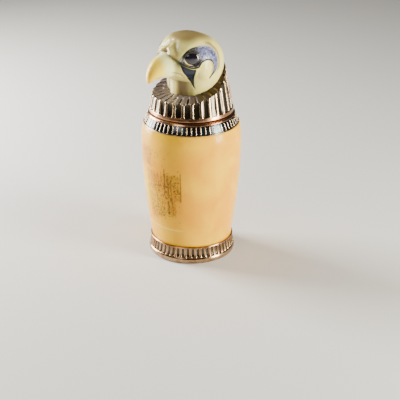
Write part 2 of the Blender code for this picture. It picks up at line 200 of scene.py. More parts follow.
# Carving of the head, in the same hundredths: outlines as runs of (forward, up) between corners, lines and
# places as (to the side, forward, up)
PATCH_RUNS = (
    ((37.3, 68.9), (36.1, 72.2), (33.8, 76.6), (29.6, 81.4), (24.6, 85.0), (20.0, 86.9), (14.5, 87.8),
     (9.7, 88.3), (3.0, 87.8), (-3.4, 86.3), (-6.8, 83.2), (-10.4, 79.1), (-12.1, 73.7), (-12.1, 68.1),
     (-11.2, 62.7), (-9.4, 58.9), (-6.2, 55.0), (-1.8, 50.6), (1.9, 47.4)),
    ((1.9, 47.4), (-1.3, 52.3), (-3.4, 56.3), (-4.3, 60.1), (-4.0, 63.8), (-2.2, 67.6), (0.8, 70.3),
     (4.3, 71.8), (8.1, 72.1), (12.0, 71.0), (15.3, 68.7), (18.4, 63.8)),
    ((18.4, 63.8), (24.1, 62.6), (29.3, 63.9), (33.8, 66.2), (37.3, 68.9)),
)
MOUSTACHE_RUNS = (
    ((38.2, 68.2), (33.9, 65.2), (29.1, 62.5), (25.3, 61.2), (21.9, 60.9)),
    ((21.9, 60.9), (21.5, 57.0), (20.9, 51.7), (19.6, 44.6), (18.9, 38.7), (17.6, 32.0)),
    ((17.6, 32.0), (20.6, 38.2), (23.0, 43.3), (28.6, 50.0), (33.9, 56.1), (36.4, 61.5), (38.2, 68.2)),
)
HOOK = ((1.5, 71.4), (-1.6, 69.0), (-3.9, 65.6), (-4.6, 61.0), (-3.6, 56.2), (-1.2, 51.9), (1.9, 47.2))
HOOK_WIDTH = 1.1
LORE = (22.0, 38.0, 69.0)
LORE_SIZE = 6.0
LORE_SHARE = 0.95
PATCH_DEPTH = 0.9
PATCH_EDGE = 0.9
PATCH_SIDE = 14.0
SIDE_FADE = 4.0
FAR_OUTSIDE = -100.0
PAINTED_OUTSIDE = -20.0
CHEEK = (30.0, 9.0, 57.0)
CHEEK_SIZE = (18.0, 10.5, 15.0)
CHEEK_RAISE = 2.6
BROW = ((21.6, 34.5, 79.6), (22.9, 29.0, 85.4), (23.7, 21.5, 90.6), (25.0, 12.7, 93.2), (26.5, 2.3, 92.8),
        (27.8, -8.2, 89.8))
BROW_RAISE = 1.2
BROW_WIDTH = 5.0
HOOD_EDGE = 82.8
HOOD_FALL = 0.25
HOOD_BEND = 0.0125
HOOD_RAISE = 2.1
HOOD_WIDTH = 0.45
HOOD_REACH = 9.0
HOOD_AHEAD = 33.0
LOBE = ((3.5, 33.0, 90.0), (3.5, 38.5, 85.0), (8.0, 40.5, 81.5), (13.0, 40.5, 78.2))
LOBE_RAISE = 1.2
LOBE_WIDTH = 3.6
LOBE_HOLLOW = ((4.5, 31.0, 92.2), (8.0, 33.6, 88.8), (11.8, 36.6, 83.6), (14.6, 39.4, 78.8))
LOBE_HOLLOW_DEPTH = 1.2
LOBE_HOLLOW_WIDTH = 4.2
# The olive wash and painted shade lie this far off the lobe's hollow
HOLLOW_WASH_AND_SHADE_SHIFT = (2.0, 0.0, 1.0)
MIDDLE_GROOVE = ((0.0, 42.0, 83.0), (0.0, 38.0, 88.0), (0.0, 31.0, 94.5))
MIDDLE_GROOVE_DEPTH = 1.3
MIDDLE_GROOVE_WIDTH = 1.7
GAPE = ((16.6, 45.3, 56.6), (17.9, 41.5, 55.8), (20.3, 38.1, 55.4), (21.8, 34.9, 53.9), (20.9, 30.9, 50.3))
GAPE_DEPTH = 1.1
GAPE_WIDTH = 1.6
THROAT_COLUMN = 6.0
THROAT_HOLLOW_END = 29.0
THROAT_HOLLOW_DEPTH = 2.2
THROAT_TOP = 43.0
THROAT_BACK = 13.0

# Eyes, in the same hundredths: half sizes out of the head, along it and up it
EYE_SIZE = (3.6, 11.3, 9.6)
EYE_CENTRE = (30.3, 23.3, 74.4)
EYE_TURN = math.radians(33)
SOCKET_FLOOR = 4.4
SOCKET_EDGE = 0.10
BALL_SHARE = 0.78
RING_SHARE = 0.30
CRESCENT_REACH = 0.87
CRESCENT_ENDS = (0.15, -1.75)
CRESCENT_THICK = 0.75

# Camera, as the photograph was taken, and the lights around it
VIEW_TURN = math.radians(50)
VIEW_TILT = math.radians(24.6)
VIEW_DISTANCE = 0.99
VIEW_HEIGHT = 0.045
VIEW_SHIFT = 0.0075
VIEW_LENS = 99.0
SENSOR = 36.0
# Each soft light's place to the right, away from the camera and up, its width and height, power and colour
LAMPS = {
    "right": ((0.76, -0.36, 0.16), (0.30, 0.55), 23.0, (1.0, 0.97, 0.86)),
    "left": ((-0.72, 0.36, 0.20), (0.42, 0.70), 38.0, (1.0, 0.98, 0.93)),
    "front": ((-0.45, -0.65, 0.55), (0.35, 0.35), 1.5, (1.0, 0.96, 0.90)),
}
LAMPS_AIM = 0.10
PALE_FLOOR = (0.72, 0.70, 0.67, 1.0)
ROOM_GREY = (0.60, 0.60, 0.62, 1.0)
ROOM_LIGHT = 0.08


def clear_name(name):
    """Removes what an earlier run left under this name."""
    old = bpy.data.objects.get(name)
    if old:
        bpy.data.objects.remove(old)


def keep(mesh, name, look, stands_for, slot):
    """Makes the mesh a finished piece of the jar that stands for one of its solids."""
    clear_name(name)
    thing = bpy.data.objects.new(name, mesh)
    mesh.name = name
    bpy.context.scene.collection.objects.link(thing)
    mesh.materials.clear()
    mesh.materials.append(look)
    mesh.shade_smooth()
    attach(thing, "root")
    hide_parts(stands_for)
    return thing


def spline(values, places):
    """A natural cubic spline through values at whole numbers, read at places."""
    values = np.asarray(values, float)
    count = len(values)
    system = np.eye(count)
    bend = np.zeros_like(values)
    for index in range(1, count - 1):
        system[index, index - 1:index + 2] = (1, 4, 1)
        bend[index] = 6 * (values[index + 1] - 2 * values[index] + values[index - 1])
    curve = np.linalg.solve(system, bend)
    low = np.clip(np.floor(places).astype(int), 0, count - 2)
    share = places - low
    if values.ndim > 1:
        share = share[:, None]
    rest = 1 - share
    return (rest * values[low] + share * values[low + 1]
            + (rest ** 3 - rest) * curve[low] / 6 + (share ** 3 - share) * curve[low + 1] / 6)


def ease(value):
    value = np.clip(value, 0.0, 1.0)
    return value * value * (3 - 2 * value)


def face_outwards(mesh):
    work = bmesh.new()
    work.from_mesh(mesh)
    bmesh.ops.recalc_face_normals(work, faces=work.faces)
    work.to_mesh(mesh)
    work.free()
    return mesh


def skin(points, caps):
    """A mesh from a grid of [row, column] points, closed around its columns."""
    rows, columns = points.shape[:2]
    corners = points.reshape(-1, 3)
    first = np.arange(rows if not caps else rows - 1)[:, None] * columns
    across = np.arange(columns)[None, :]
    after = (across + 1) % columns
    above = (first + columns) % (rows * columns)
    faces = np.stack([first + across, first + after, above + after, above + across], axis=2).reshape(-1, 4)
    faces = [tuple(face) for face in faces.tolist()]
    if caps:
        hubs = np.stack([points[0].mean(axis=0), points[-1].mean(axis=0)])
        corners = np.concatenate([corners, hubs])
        last = (rows - 1) * columns
        low_hub, high_hub = rows * columns, rows * columns + 1
        for index in range(columns):
            following = (index + 1) % columns
            faces.append((following, index, low_hub))
            faces.append((last + index, last + following, high_hub))
    mesh = bpy.data.meshes.new("skin")
    mesh.from_pydata([tuple(corner) for corner in corners.tolist()], [], faces)
    mesh.validate()
    return face_outwards(mesh)


def paint(mesh, name, values):
    """Keeps one number for each point, for the materials to read."""
    field = mesh.attributes.new(name, "FLOAT", "POINT")
    padded = np.zeros(len(mesh.vertices), np.float32)
    padded[:values.size] = values.ravel()
    field.data.foreach_set("value", padded)


def around(angles, radii, heights):
    """Points at angles from the front, turning towards +X."""
    angles, radii, heights = np.broadcast_arrays(angles, radii, heights)
    return np.stack([radii * np.sin(angles), -radii * np.cos(angles), heights], axis=-1)


def turned_ring(profile, sides=192):
    """A closed (radius, height) profile turned about the jar's axis."""
    profile = np.array(profile)
    angles = np.linspace(0, 2 * np.pi, sides, endpoint=False)
    return skin(around(angles[None, :], profile[:, :1], profile[:, 1:]), caps=False)


def jar_radius(height):
    """The stone vessel's outer radius, before its rings are let in."""
    height = np.asarray(height, float)
    rise = np.clip((height - WAIST_HEIGHT) / (BELLY_HEIGHT - WAIST_HEIGHT), 0, 1)
    fall = np.clip((height - SHOULDER_START) / (JAR_HEIGHT - SHOULDER_START), 0, 1)
    flank = WAIST_RADIUS + (BELLY_RADIUS - WAIST_RADIUS) * np.sin(0.5 * np.pi * rise)
    return flank - (BELLY_RADIUS - NECK_RADIUS) * fall ** SHOULDER_POWER


class Sketch:
    """Adds nodes to one tree and joins them."""

    def __init__(self, tree):
        self.tree = tree

    def add(self, kind, **settings):
        node = self.tree.nodes.new(kind)
        for name, value in settings.items():
            setattr(node, name, value)
        return node

    def feed(self, socket, value):
        if isinstance(value, bpy.types.NodeSocket):
            self.tree.links.new(value, socket)
        else:
            socket.default_value = value

    def node(self, kind, inputs, **settings):
        """A node with its inputs fed by name or by number."""
        made = self.add(kind, **settings)
        for name, value in inputs.items():
            self.feed(made.inputs[name], value)
        return made

    def math(self, operation, *values):
        made = self.add("ShaderNodeMath", operation=operation)
        for socket, value in zip(made.inputs, values):
            self.feed(socket, value)
        return made.outputs[0]

    def steps(self, value, low, high, smooth=True):
        """0 below low, 1 above high, and a ramp between."""
        made = self.add("ShaderNodeMapRange", interpolation_type="SMOOTHSTEP" if smooth else "LINEAR")
        for name, given in (("Value", value), ("From Min", low), ("From Max", high)):
            self.feed(made.inputs[name], given)
        return made.outputs["Result"]

    def blend(self, share, first, second):
        """One colour turning into another."""
        made = self.add("ShaderNodeMix", data_type="RGBA")
        self.feed(made.inputs[0], share)
        self.feed(made.inputs[6], first)
        self.feed(made.inputs[7], second)
        return made.outputs[2]

    def curve(self, value, heights):
        """A smooth curve through evenly spaced heights over 0 to 1."""
        made = self.add("ShaderNodeFloatCurve")
        line = made.mapping.curves[0]
        last = len(heights) - 1
        line.points[0].location = (0.0, heights[0])
        line.points[1].location = (1.0, heights[last])
        for index in range(1, last):
            line.points.new(index / last, heights[index])
        made.mapping.use_clip = False
        made.mapping.update()
        self.feed(made.inputs["Value"], value)
        return made.outputs["Value"]


def repeat_tree(name, place):
    """Geometry Nodes that set copies of a flat stave around the jar and bend them as place says.

    The stave lies in its own space: x in shares of the pitch, y the lift off the surface, z the way along it.
    """
    tree = bpy.data.node_groups.new(name, "GeometryNodeTree")
    inputs = {"Geometry": "Geometry", "Count": "Int", "Start": "Float", "Material": "Material"}
    for label, kind in inputs.items():
        tree.interface.new_socket(label, in_out="INPUT", socket_type="NodeSocket" + kind)
    tree.interface.new_socket("Geometry", in_out="OUTPUT", socket_type="NodeSocketGeometry")
    sketch = Sketch(tree)
    given = sketch.add("NodeGroupInput")
    row = sketch.node("GeometryNodeMeshLine", {"Count": given.outputs["Count"], "Offset": (1.0, 0.0, 0.0)})
    copies = sketch.node("GeometryNodeInstanceOnPoints", {"Points": row.outputs[0],
                                                          "Instance": given.outputs["Geometry"]})
    real = sketch.node("GeometryNodeRealizeInstances", {"Geometry": copies.outputs[0]})
    spot = sketch.add("GeometryNodeInputPosition")
    parts = sketch.node("ShaderNodeSeparateXYZ", {0: spot.outputs[0]})
    across, lift, along = parts.outputs
    pitch = sketch.math("DIVIDE", 2 * math.pi, given.outputs["Count"])
    angle = sketch.math("MULTIPLY_ADD", across, pitch, given.outputs["Start"])
    radius, height = place(sketch, angle, along, lift)
    side = sketch.math("MULTIPLY", radius, sketch.math("SINE", angle))
    front = sketch.math("MULTIPLY", sketch.math("MULTIPLY", radius, sketch.math("COSINE", angle)), -1.0)
    where = sketch.node("ShaderNodeCombineXYZ", {0: side, 1: front, 2: height})
    bent = sketch.node("GeometryNodeSetPosition", {"Geometry": real.outputs[0], "Position": where.outputs[0]})
    dressed = sketch.node("GeometryNodeSetMaterial", {"Geometry": bent.outputs[0],
                                                      "Material": given.outputs["Material"]})
    out = sketch.add("NodeGroupOutput")
    sketch.feed(out.inputs[0], dressed.outputs[0])
    return tree


def stave(half_width, crest, sink, stations, sides=9):
    """A closed bar with a rounded crest, to be copied and bent by the tree."""
    rows = []
    for station in stations:
        half = half_width(station)
        row = [(-half, -sink, station)]
        for angle in np.linspace(-0.5 * np.pi, 0.5 * np.pi, sides):
            lift = crest * math.cos(angle) ** 0.7 if abs(angle) < 1.5 else 0.0
            row.append((half * math.sin(angle), lift, station))
        row.append((half, -sink, station))
        rows.append(row)
    return skin(np.array(rows), caps=True)


def repeated(name, blank, tree, count, start, look, stands_for, slot):
    """Runs the tree on the stave and keeps the result as a plain mesh."""
    clear_name(name)
    rough = bpy.data.objects.new(name, blank)
    bpy.context.scene.collection.objects.link(rough)
    modifier = rough.modifiers.new("Repeat", "NODES")
    modifier.node_group = tree
    wanted = {"Count": count, "Start": start, "Material": look}
    for item in tree.interface.items_tree:
        if item.in_out == "INPUT" and item.name in wanted:
            modifier[item.identifier] = wanted[item.name]
    graph = bpy.context.evaluated_depsgraph_get()
    mesh = bpy.data.meshes.new_from_object(rough.evaluated_get(graph))
    bpy.data.objects.remove(rough)
    return keep(face_outwards(mesh), name, look, stands_for, slot)


# Surfaces

BEVEL_GREY = (0.19, 0.15, 0.135)
# Dark brown of the painted shade in the seams and on the bevel's far side
PAINTED_SHADE_BROWN = (0.035, 0.014, 0.006)


def new_look(name):
    """A material with its Principled shader, and a sketch to add nodes with."""
    look = bpy.data.materials.new(name)
    look.use_nodes = True
    return look, Sketch(look.node_tree), look.node_tree.nodes["Principled BSDF"]


def mottle_group():
    """Uneven colour, gloss and surface that every finish shares, each at its own scale."""
    name = "Mottle"
    old = bpy.data.node_groups.get(name)
    if old:
        return old
    tree = bpy.data.node_groups.new(name, "ShaderNodeTree")
    for label, start in (("Scale", 60.0), ("Detail", 3.0), ("Low", 0.4), ("High", 0.6)):
        socket = tree.interface.new_socket(label, in_out="INPUT", socket_type="NodeSocketFloat")
        socket.default_value = start
    for label in ("Mask", "Fine"):
        tree.interface.new_socket(label, in_out="OUTPUT", socket_type="NodeSocketFloat")
    sketch = Sketch(tree)
    given = sketch.add("NodeGroupInput")
    place = sketch.add("ShaderNodeTexCoord")
    spot = place.outputs["Object"]
    scale, detail, low, high = given.outputs[:4]
    broad = sketch.node("ShaderNodeTexNoise", {"Vector": spot, "Scale": scale, "Detail": detail,
                                               "Distortion": 0.6})
    fine_scale = sketch.math("MULTIPLY", scale, 14.0)
    fine = sketch.node("ShaderNodeTexNoise", {"Vector": spot, "Scale": fine_scale, "Detail": 2.0})
    out = sketch.add("NodeGroupOutput")
    sketch.feed(out.inputs["Mask"], sketch.steps(broad.outputs[0], low, high))
    sketch.feed(out.inputs["Fine"], fine.outputs[0])
    return tree


def mottle(sketch, scale, low=0.4, high=0.6, detail=3.0):
    node = sketch.add("ShaderNodeGroup")
    node.node_tree = mottle_group()
    for name, value in (("Scale", scale), ("Low", low), ("High", high), ("Detail", detail)):
        node.inputs[name].default_value = value
    return node.outputs["Mask"], node.outputs["Fine"]


def read(sketch, name):
    """A number painted on the mesh."""
    return sketch.add("ShaderNodeAttribute", attribute_name=name).outputs["Fac"]


def dent(sketch, shader, height, distance, strength=1.0):
    """A small unevenness of the surface."""
    bump = sketch.node("ShaderNodeBump", {"Height": height, "Strength": strength, "Distance": distance})
    sketch.feed(shader.inputs["Normal"], bump.outputs[0])


def honey_stone(settings):
    """Translucent amber stone with pale clouds, a stained panel and dark strokes cut into it."""
    look, sketch, shader = new_look("honey stone")
    clouds, fine = mottle(sketch, 30.0, 0.36, 0.68)
    place = sketch.add("ShaderNodeTexCoord")
    long_way = sketch.node("ShaderNodeMapping", {"Vector": place.outputs["Object"],
                                                 "Scale": (1.0, 1.0, 0.35)})
    bands = sketch.node("ShaderNodeTexNoise", {"Vector": long_way.outputs[0], "Scale": 38.0, "Detail": 5.0,
                                               "Distortion": 1.6})
    veins = sketch.steps(bands.outputs[0], 0.48, 0.72)
    colour = sketch.blend(sketch.math("MULTIPLY", clouds, 0.6), (*settings.stone, 1.0),
                          (*settings.stone_light, 1.0))
    colour = sketch.blend(sketch.math("MULTIPLY", veins, 0.3), colour, (*settings.stone_vein, 1.0))
    colour = sketch.blend(sketch.math("MULTIPLY", read(sketch, "stain"), 0.5), colour, (*settings.stain, 1.0))
    # Painted highlight along the low ridge
    ridge = sketch.math("MULTIPLY", read(sketch, "ridge"), 0.32)
    colour = sketch.blend(ridge, colour, (*settings.ridge, 1.0))
    cut = read(sketch, "stroke")
    colour = sketch.blend(cut, colour, (*settings.stroke, 1.0))
    sketch.feed(shader.inputs["Base Color"], colour)
    rough = sketch.math("MULTIPLY_ADD", fine, 0.08, 0.14)
    sketch.feed(shader.inputs["Roughness"], sketch.math("MULTIPLY_ADD", cut, 0.4, rough))
    shader.inputs["Subsurface Weight"].default_value = 0.5
    shader.inputs["Subsurface Radius"].default_value = (1.0, 0.42, 0.03)
    shader.inputs["Subsurface Scale"].default_value = 0.008
    shader.inputs["Specular IOR Level"].default_value = 0.1
    shader.inputs["Coat Weight"].default_value = 0.12
    shader.inputs["Coat Roughness"].default_value = 0.08
    dent(sketch, shader, fine, 0.00005, 0.3)
    return look


def gilt(name, colour, deep):
    """Polished, slightly uneven gold, with painted shade in its seams and on the far side of the wig's bevel.
    """
    look, sketch, shader = new_look(name)
    worn, fine = mottle(sketch, 120.0, 0.35, 0.7)
    finish = sketch.blend(worn, (*colour, 1.0), (*deep, 1.0))
    # Painted shade: dark brown, and rougher, in the seams and on the bevel's far side
    painted_dark = read(sketch, "tarnish")
    dull = read(sketch, "bevel")
    finish = sketch.blend(dull, finish, (*BEVEL_GREY, 1.0))
    sketch.feed(shader.inputs["Base Color"], sketch.blend(painted_dark, finish, (*PAINTED_SHADE_BROWN, 1.0)))
    sketch.feed(shader.inputs["Metallic"], sketch.math("MULTIPLY_ADD", dull, -0.6, 1.0))
    smooth = sketch.math("MULTIPLY_ADD", fine, 0.22, 0.08)
    sketch.feed(shader.inputs["Roughness"], sketch.math("MULTIPLY_ADD", painted_dark, 0.35, smooth))
    dent(sketch, shader, fine, 0.00006, 0.5)
    return look


def dark_gilt(name, colour, clouds):
    """Dark mirror-like fill between the gold, clouded with a little colour."""
    look, sketch, shader = new_look(name)
    cloudy, fine = mottle(sketch, 110.0, 0.42, 0.62)
    sketch.feed(shader.inputs["Base Color"], sketch.blend(cloudy, (*colour, 1.0), (*clouds, 1.0)))
    shader.inputs["Metallic"].default_value = 0.9
    sketch.feed(shader.inputs["Roughness"], sketch.math("MULTIPLY_ADD", fine, 0.16, 0.08))
    shader.inputs["Coat Weight"].default_value = 0.35
    shader.inputs["Coat Roughness"].default_value = 0.05
    dent(sketch, shader, fine, 0.00008, 0.5)
    return look


def ivory(settings):
    """Cream glaze with an olive wash and painted shade in its hollows and on its crown, a yellow beak, lapis
    patches with painted shade at their front, and dark moustaches.
    """
    look, sketch, shader = new_look("ivory glaze")
    cloudy, fine = mottle(sketch, 45.0, 0.35, 0.7)
    colour = sketch.blend(sketch.math("MULTIPLY", cloudy, 0.6), (*settings.ivory, 1.0),
                          (*settings.ivory_shade, 1.0))
    forward = read(sketch, "forward")
    colour = sketch.blend(sketch.steps(forward, 0.40, 0.47), colour, (*settings.beak_root, 1.0))
    colour = sketch.blend(sketch.steps(forward, 0.49, 0.60), colour, (*settings.beak, 1.0))
    colour = sketch.blend(sketch.steps(forward, 0.60, 0.70), colour, (*settings.beak_tip, 1.0))
    # Olive wash and painted shade: darker in the hollows, under the hood's edge, beside the throat, behind
    # the patch and on the crown
    colour = sketch.blend(read(sketch, "wash"), colour, (*settings.wash, 1.0))
    colour = sketch.blend(read(sketch, "lore"), colour, (*settings.lore, 1.0))
    place = sketch.add("ShaderNodeTexCoord")
    spot = place.outputs["Object"]
    flakes = sketch.node("ShaderNodeTexVoronoi", {"Vector": spot, "Scale": 1300.0})
    glint = sketch.node("ShaderNodeSeparateColor", {"Color": flakes.outputs["Color"]})
    drift = sketch.node("ShaderNodeTexNoise", {"Vector": spot, "Scale": 520.0, "Detail": 4.0})
    lapis = sketch.blend(sketch.steps(drift.outputs[0], 0.36, 0.58), (*settings.lapis, 1.0),
                         (*settings.lapis_light, 1.0))
    lapis = sketch.blend(sketch.steps(glint.outputs[0], 0.78, 0.96), lapis, (*settings.glint, 1.0))
    # Painted shade at the patch's front, under the brow: dark brown with paler flecks
    shaded = sketch.blend(sketch.steps(drift.outputs[0], 0.45, 0.62), (*settings.socket, 1.0),
                          (*settings.socket_light, 1.0))
    lapis = sketch.blend(sketch.steps(forward, 0.10, 0.20), lapis, shaded)
    patch = read(sketch, "patch")
    colour = sketch.blend(sketch.steps(patch, -0.9, -0.3), colour, (*settings.outline, 1.0))
    colour = sketch.blend(sketch.steps(patch, 0.4, 1.0), colour, lapis)
    colour = sketch.blend(sketch.steps(read(sketch, "hook"), 0.35, 0.65), colour, (*settings.outline, 1.0))
    moustache = read(sketch, "moustache")
    navy = sketch.blend(sketch.steps(moustache, 0.3, 2.6), (*settings.outline, 1.0), (*settings.navy, 1.0))
    colour = sketch.blend(sketch.steps(moustache, -0.35, 0.15), colour, navy)
    sketch.feed(shader.inputs["Base Color"], colour)
    sketch.feed(shader.inputs["Roughness"], sketch.math("MULTIPLY_ADD", fine, 0.15, 0.30))
    shader.inputs["Subsurface Weight"].default_value = 0.15
    shader.inputs["Subsurface Radius"].default_value = (1.0, 0.7, 0.35)
    shader.inputs["Subsurface Scale"].default_value = 0.0012
    shader.inputs["Specular IOR Level"].default_value = 0.3
    shader.inputs["Coat Weight"].default_value = 0.2
    shader.inputs["Coat Roughness"].default_value = 0.12
    dent(sketch, shader, fine, 0.00004, 0.4)
    return look


def pale_gold(settings):
    """Satin pale gold paint on the edge of the eye."""
    look, sketch, shader = new_look("pale gold")
    cloudy, fine = mottle(sketch, 500.0)
    sketch.feed(shader.inputs["Base Color"], sketch.blend(cloudy, (*settings.crescent, 1.0),
                                                          (*settings.beak, 1.0)))
    shader.inputs["Metallic"].default_value = 0.3
    sketch.feed(shader.inputs["Roughness"], sketch.math("MULTIPLY_ADD", fine, 0.2, 0.25))
    return look


def eye_glass(settings):
    """Nearly black glass with a dark olive rim."""
    look, sketch, shader = new_look("dark glass")
    cloudy, fine = mottle(sketch, 300.0)
    rim = sketch.blend(cloudy, (*settings.eye_rim, 1.0), (*settings.outline, 1.0))
    edge = sketch.steps(read(sketch, "reach"), BALL_SHARE - 0.03, BALL_SHARE + 0.03)
    sketch.feed(shader.inputs["Base Color"], sketch.blend(edge, (*settings.eye, 1.0), rim))
    gloss = sketch.math("MULTIPLY_ADD", fine, 0.05, 0.03)
    sketch.feed(shader.inputs["Roughness"], sketch.math("MULTIPLY_ADD", edge, 0.3, gloss))
    shader.inputs["Coat Weight"].default_value = 1.0
    shader.inputs["Coat Roughness"].default_value = 0.03
    return look


def look_named(name, maker):
    """The material if it is there already, or a new one."""
    return bpy.data.materials.get(name) or maker()


# Pieces


def panel_zone(turn, height):
    """Where the panel is crowded and stained: 1 in its busiest part, 0 outside the panel."""
    turn = np.degrees(turn)
    crowd = 0.0
    for left, right, low, high, share in PANEL_PARTS:
        inside = ease((turn - left) / 5.0 + 0.5) * ease((right - turn) / 3.0 + 0.5)
        inside = inside * ease((height - low) / 0.005 + 0.5) * ease((high - height) / 0.005 + 0.5)
        crowd = np.maximum(crowd, share * inside)
    return crowd


def panel_strokes(settings):
    """Short strokes in upright columns, from a fixed seed: (start, end, strength) on the unrolled panel."""
    draw = np.random.RandomState(settings.seed)
    strokes = []
    half = math.radians(settings.panel_turn) * BELLY_RADIUS
    column = 2 * half / settings.panel_columns
    cell = column * 0.8
    rows = int((settings.panel_high - settings.panel_low) / cell)
    for place in range(settings.panel_columns):
        middle = -half + (place + 0.5) * column
        for step in range(rows):
            low = settings.panel_low + step * cell
            crowd = float(panel_zone(middle / BELLY_RADIUS, low + 0.5 * cell))
            kind = draw.randint(5)
            crowd = crowd * (0.35 + draw.rand())
            for _ in range(int(0.7 + 2.6 * crowd)):
                across = middle + (draw.rand() - 0.5) * 0.8 * column
                up = low + (0.1 + 0.8 * draw.rand()) * cell
                length = (0.12 + 0.40 * draw.rand()) * cell
                lean = (0.5, 0.5, 0.0, 0.5, 0.3)[kind] * math.pi + 0.4 * (draw.rand() - 0.5)
                reach = np.array([math.cos(lean), math.sin(lean)]) * length
                centre = np.array([across, up])
                depth = min(1.0, 0.5 + 0.6 * crowd) * (0.55 + 0.45 * draw.rand())
                strokes.append((centre - reach, centre + reach, depth))
    for turn, low, high, depth in PANEL_RULES:
        across = math.radians(turn) * BELLY_RADIUS
        for start in np.arange(low, high, 0.004):
            sway = 0.0002 * (draw.rand() - 0.5)
            strokes.append((np.array([across + sway, start]), np.array([across + sway, start + 0.0038]),
                            depth * (0.7 + 0.3 * draw.rand())))
    return strokes


def stroke_mask(across, up, strokes, width):
    """How deep every point of the unrolled panel lies in a stroke, from 0 to 1."""
    depth = np.zeros(across.shape)
    for start, end, strength in strokes:
        way = end - start
        middle = 0.5 * (start + end)
        near = (np.abs(across - middle[0]) < 0.004) & (np.abs(up - middle[1]) < 0.016)
        if not near.any():
            continue
        a, b = across[near] - start[0], up[near] - start[1]
        share = np.clip((a * way[0] + b * way[1]) / (way @ way), 0, 1)
        gap = np.hypot(a - share * way[0], b - share * way[1])
        taper = 0.6 + 0.4 * np.sin(np.pi * share)
        depth[near] = np.maximum(depth[near], strength * ease(1.35 - gap / (width * taper)))
    return depth


def tint(name, description, colour):
    """A colour that a user may change."""
    return bpy.props.FloatVectorProperty(name=name, description=description, subtype="COLOR", default=colour)


class JARSIZE_PG_body(bpy.types.PropertyGroup):
    stone: tint("Stone", "Deep colour of the stone", (0.82, 0.36, 0.0))
    stone_light: tint("Light stone", "Colour of its pale clouds", (0.95, 0.60, 0.0))
    stone_vein: tint("Vein", "Colour of its darker veins", (0.74, 0.32, 0.0))
    stain: tint("Stain", "Brown of the stained panel", (0.44, 0.19, 0.0))
    # Paler colour of the low ridge, a painted highlight
    ridge: tint("Ridge", "Pale line low on the front", (1.0, 0.76, 0.30))
    stroke: tint("Stroke", "Colour in the cut strokes", (0.028, 0.012, 0.002))
    stroke_width: bpy.props.FloatProperty(name="Stroke width", description="Half width of a cut stroke",
                                          default=0.00050, unit="LENGTH")
    stroke_depth: bpy.props.FloatProperty(name="Stroke depth", description="How deep the strokes are cut",
                                          default=0.00022, unit="LENGTH")
    panel_turn: bpy.props.FloatProperty(name="Panel half angle", description="Degrees to each side",
                                        default=37.0)
    panel_low: bpy.props.FloatProperty(name="Panel foot", description="Height of its lowest strokes",
                                       default=0.036, unit="LENGTH")
    panel_high: bpy.props.FloatProperty(name="Panel head", description="Height of its highest strokes",
                                        default=0.112, unit="LENGTH")
    panel_columns: bpy.props.IntProperty(name="Columns", description="Upright columns of strokes", default=17)
    seed: bpy.props.IntProperty(name="Seed", description="Which pattern of strokes is cut", default=5)


class JARSIZE_PG_metal(bpy.types.PropertyGroup):
    gold: tint("Gold", "Colour of the ribs and staves", (0.58, 0.43, 0.28))
    gold_deep: tint("Deep gold", "Worn places of the gold", (0.27, 0.17, 0.085))
    rose: tint("Rose gold", "Colour of the plain bands", (0.60, 0.33, 0.18))
    rose_deep: tint("Deep rose gold", "Worn places of the rose gold", (0.36, 0.16, 0.07))
    bronze: tint("Bronze", "Colour of the foot's tongues and rim", (0.44, 0.29, 0.16))
    bronze_deep: tint("Deep bronze", "Worn places of the bronze", (0.24, 0.135, 0.065))
    fill: tint("Dark fill", "Dark gilt between the ribs and the tongues", (0.055, 0.040, 0.022))
    fill_tint: tint("Fill tint", "Lighter clouds in that fill", (0.075, 0.062, 0.036))
    blue: tint("Blue fill", "Dark gilt between the shoulder's gold lines", (0.022, 0.027, 0.036))
    blue_tint: tint("Blue tint", "Turquoise clouds in that fill", (0.03, 0.075, 0.08))
    wig_ribs: bpy.props.IntProperty(name="Wig ribs", description="Upright ribs around the wig", default=28)
    shoulder_staves: bpy.props.IntProperty(name="Shoulder staves",
                                           description="Gold lines around the shoulder", default=62)
    foot_tongues: bpy.props.IntProperty(name="Foot tongues", description="Gold tongues around the foot",
                                        default=52)


class JARSIZE_PG_head(bpy.types.PropertyGroup):
    ivory: tint("Ivory", "Colour of the head", (0.74, 0.665, 0.19))
    ivory_shade: tint("Ivory shade", "Its darker clouds", (0.60, 0.48, 0.14))
    # Olive wash with painted shade, for the hollows, the hood's edge, the throat's sides and the crown
    wash: tint("Wash", "Olive brown in its hollows", (0.19, 0.12, 0.045))
    beak_root: tint("Beak root", "Pale green white where the beak starts", (0.95, 0.95, 0.42))
    beak: tint("Beak", "Colour of the beak", (0.95, 0.69, 0.04))
    beak_tip: tint("Beak tip", "Colour of the beak's end", (0.90, 0.55, 0.01))
    lore: tint("Lore", "Dark green before the eye", (0.07, 0.09, 0.05))
    lapis: tint("Lapis", "Deep colour of the eye patch", (0.038, 0.043, 0.11))
    lapis_light: tint("Light lapis", "Paler flecks of the patch", (0.13, 0.135, 0.26))
    glint: tint("Glint", "Brightest specks of the patch", (0.40, 0.43, 0.56))
    # The patch's dark front is painted shade under the brow, with paler flecks in it
    socket: tint("Socket", "Dark front of the patch", (0.040, 0.034, 0.026))
    socket_light: tint("Socket flecks", "Flecks in the dark front", (0.17, 0.16, 0.14))
    navy: tint("Navy", "Colour of the moustache", (0.010, 0.014, 0.030))
    outline: tint("Outline", "Dark line around patch and moustache", (0.006, 0.008, 0.005))
    crescent: tint("Eye crescent", "Pale gold in the lower front of the eye", (0.92, 0.84, 0.58))
    eye: tint("Eye", "Colour of the eye", (0.006, 0.004, 0.010))
    eye_rim: tint("Eye rim", "Dark olive around the eye", (0.045, 0.038, 0.022))


def body_settings():
    return bpy.context.scene.jar_body_sizes


def metal_settings():
    return bpy.context.scene.jar_metal_sizes


def head_settings():
    return bpy.context.scene.jar_head_sizes


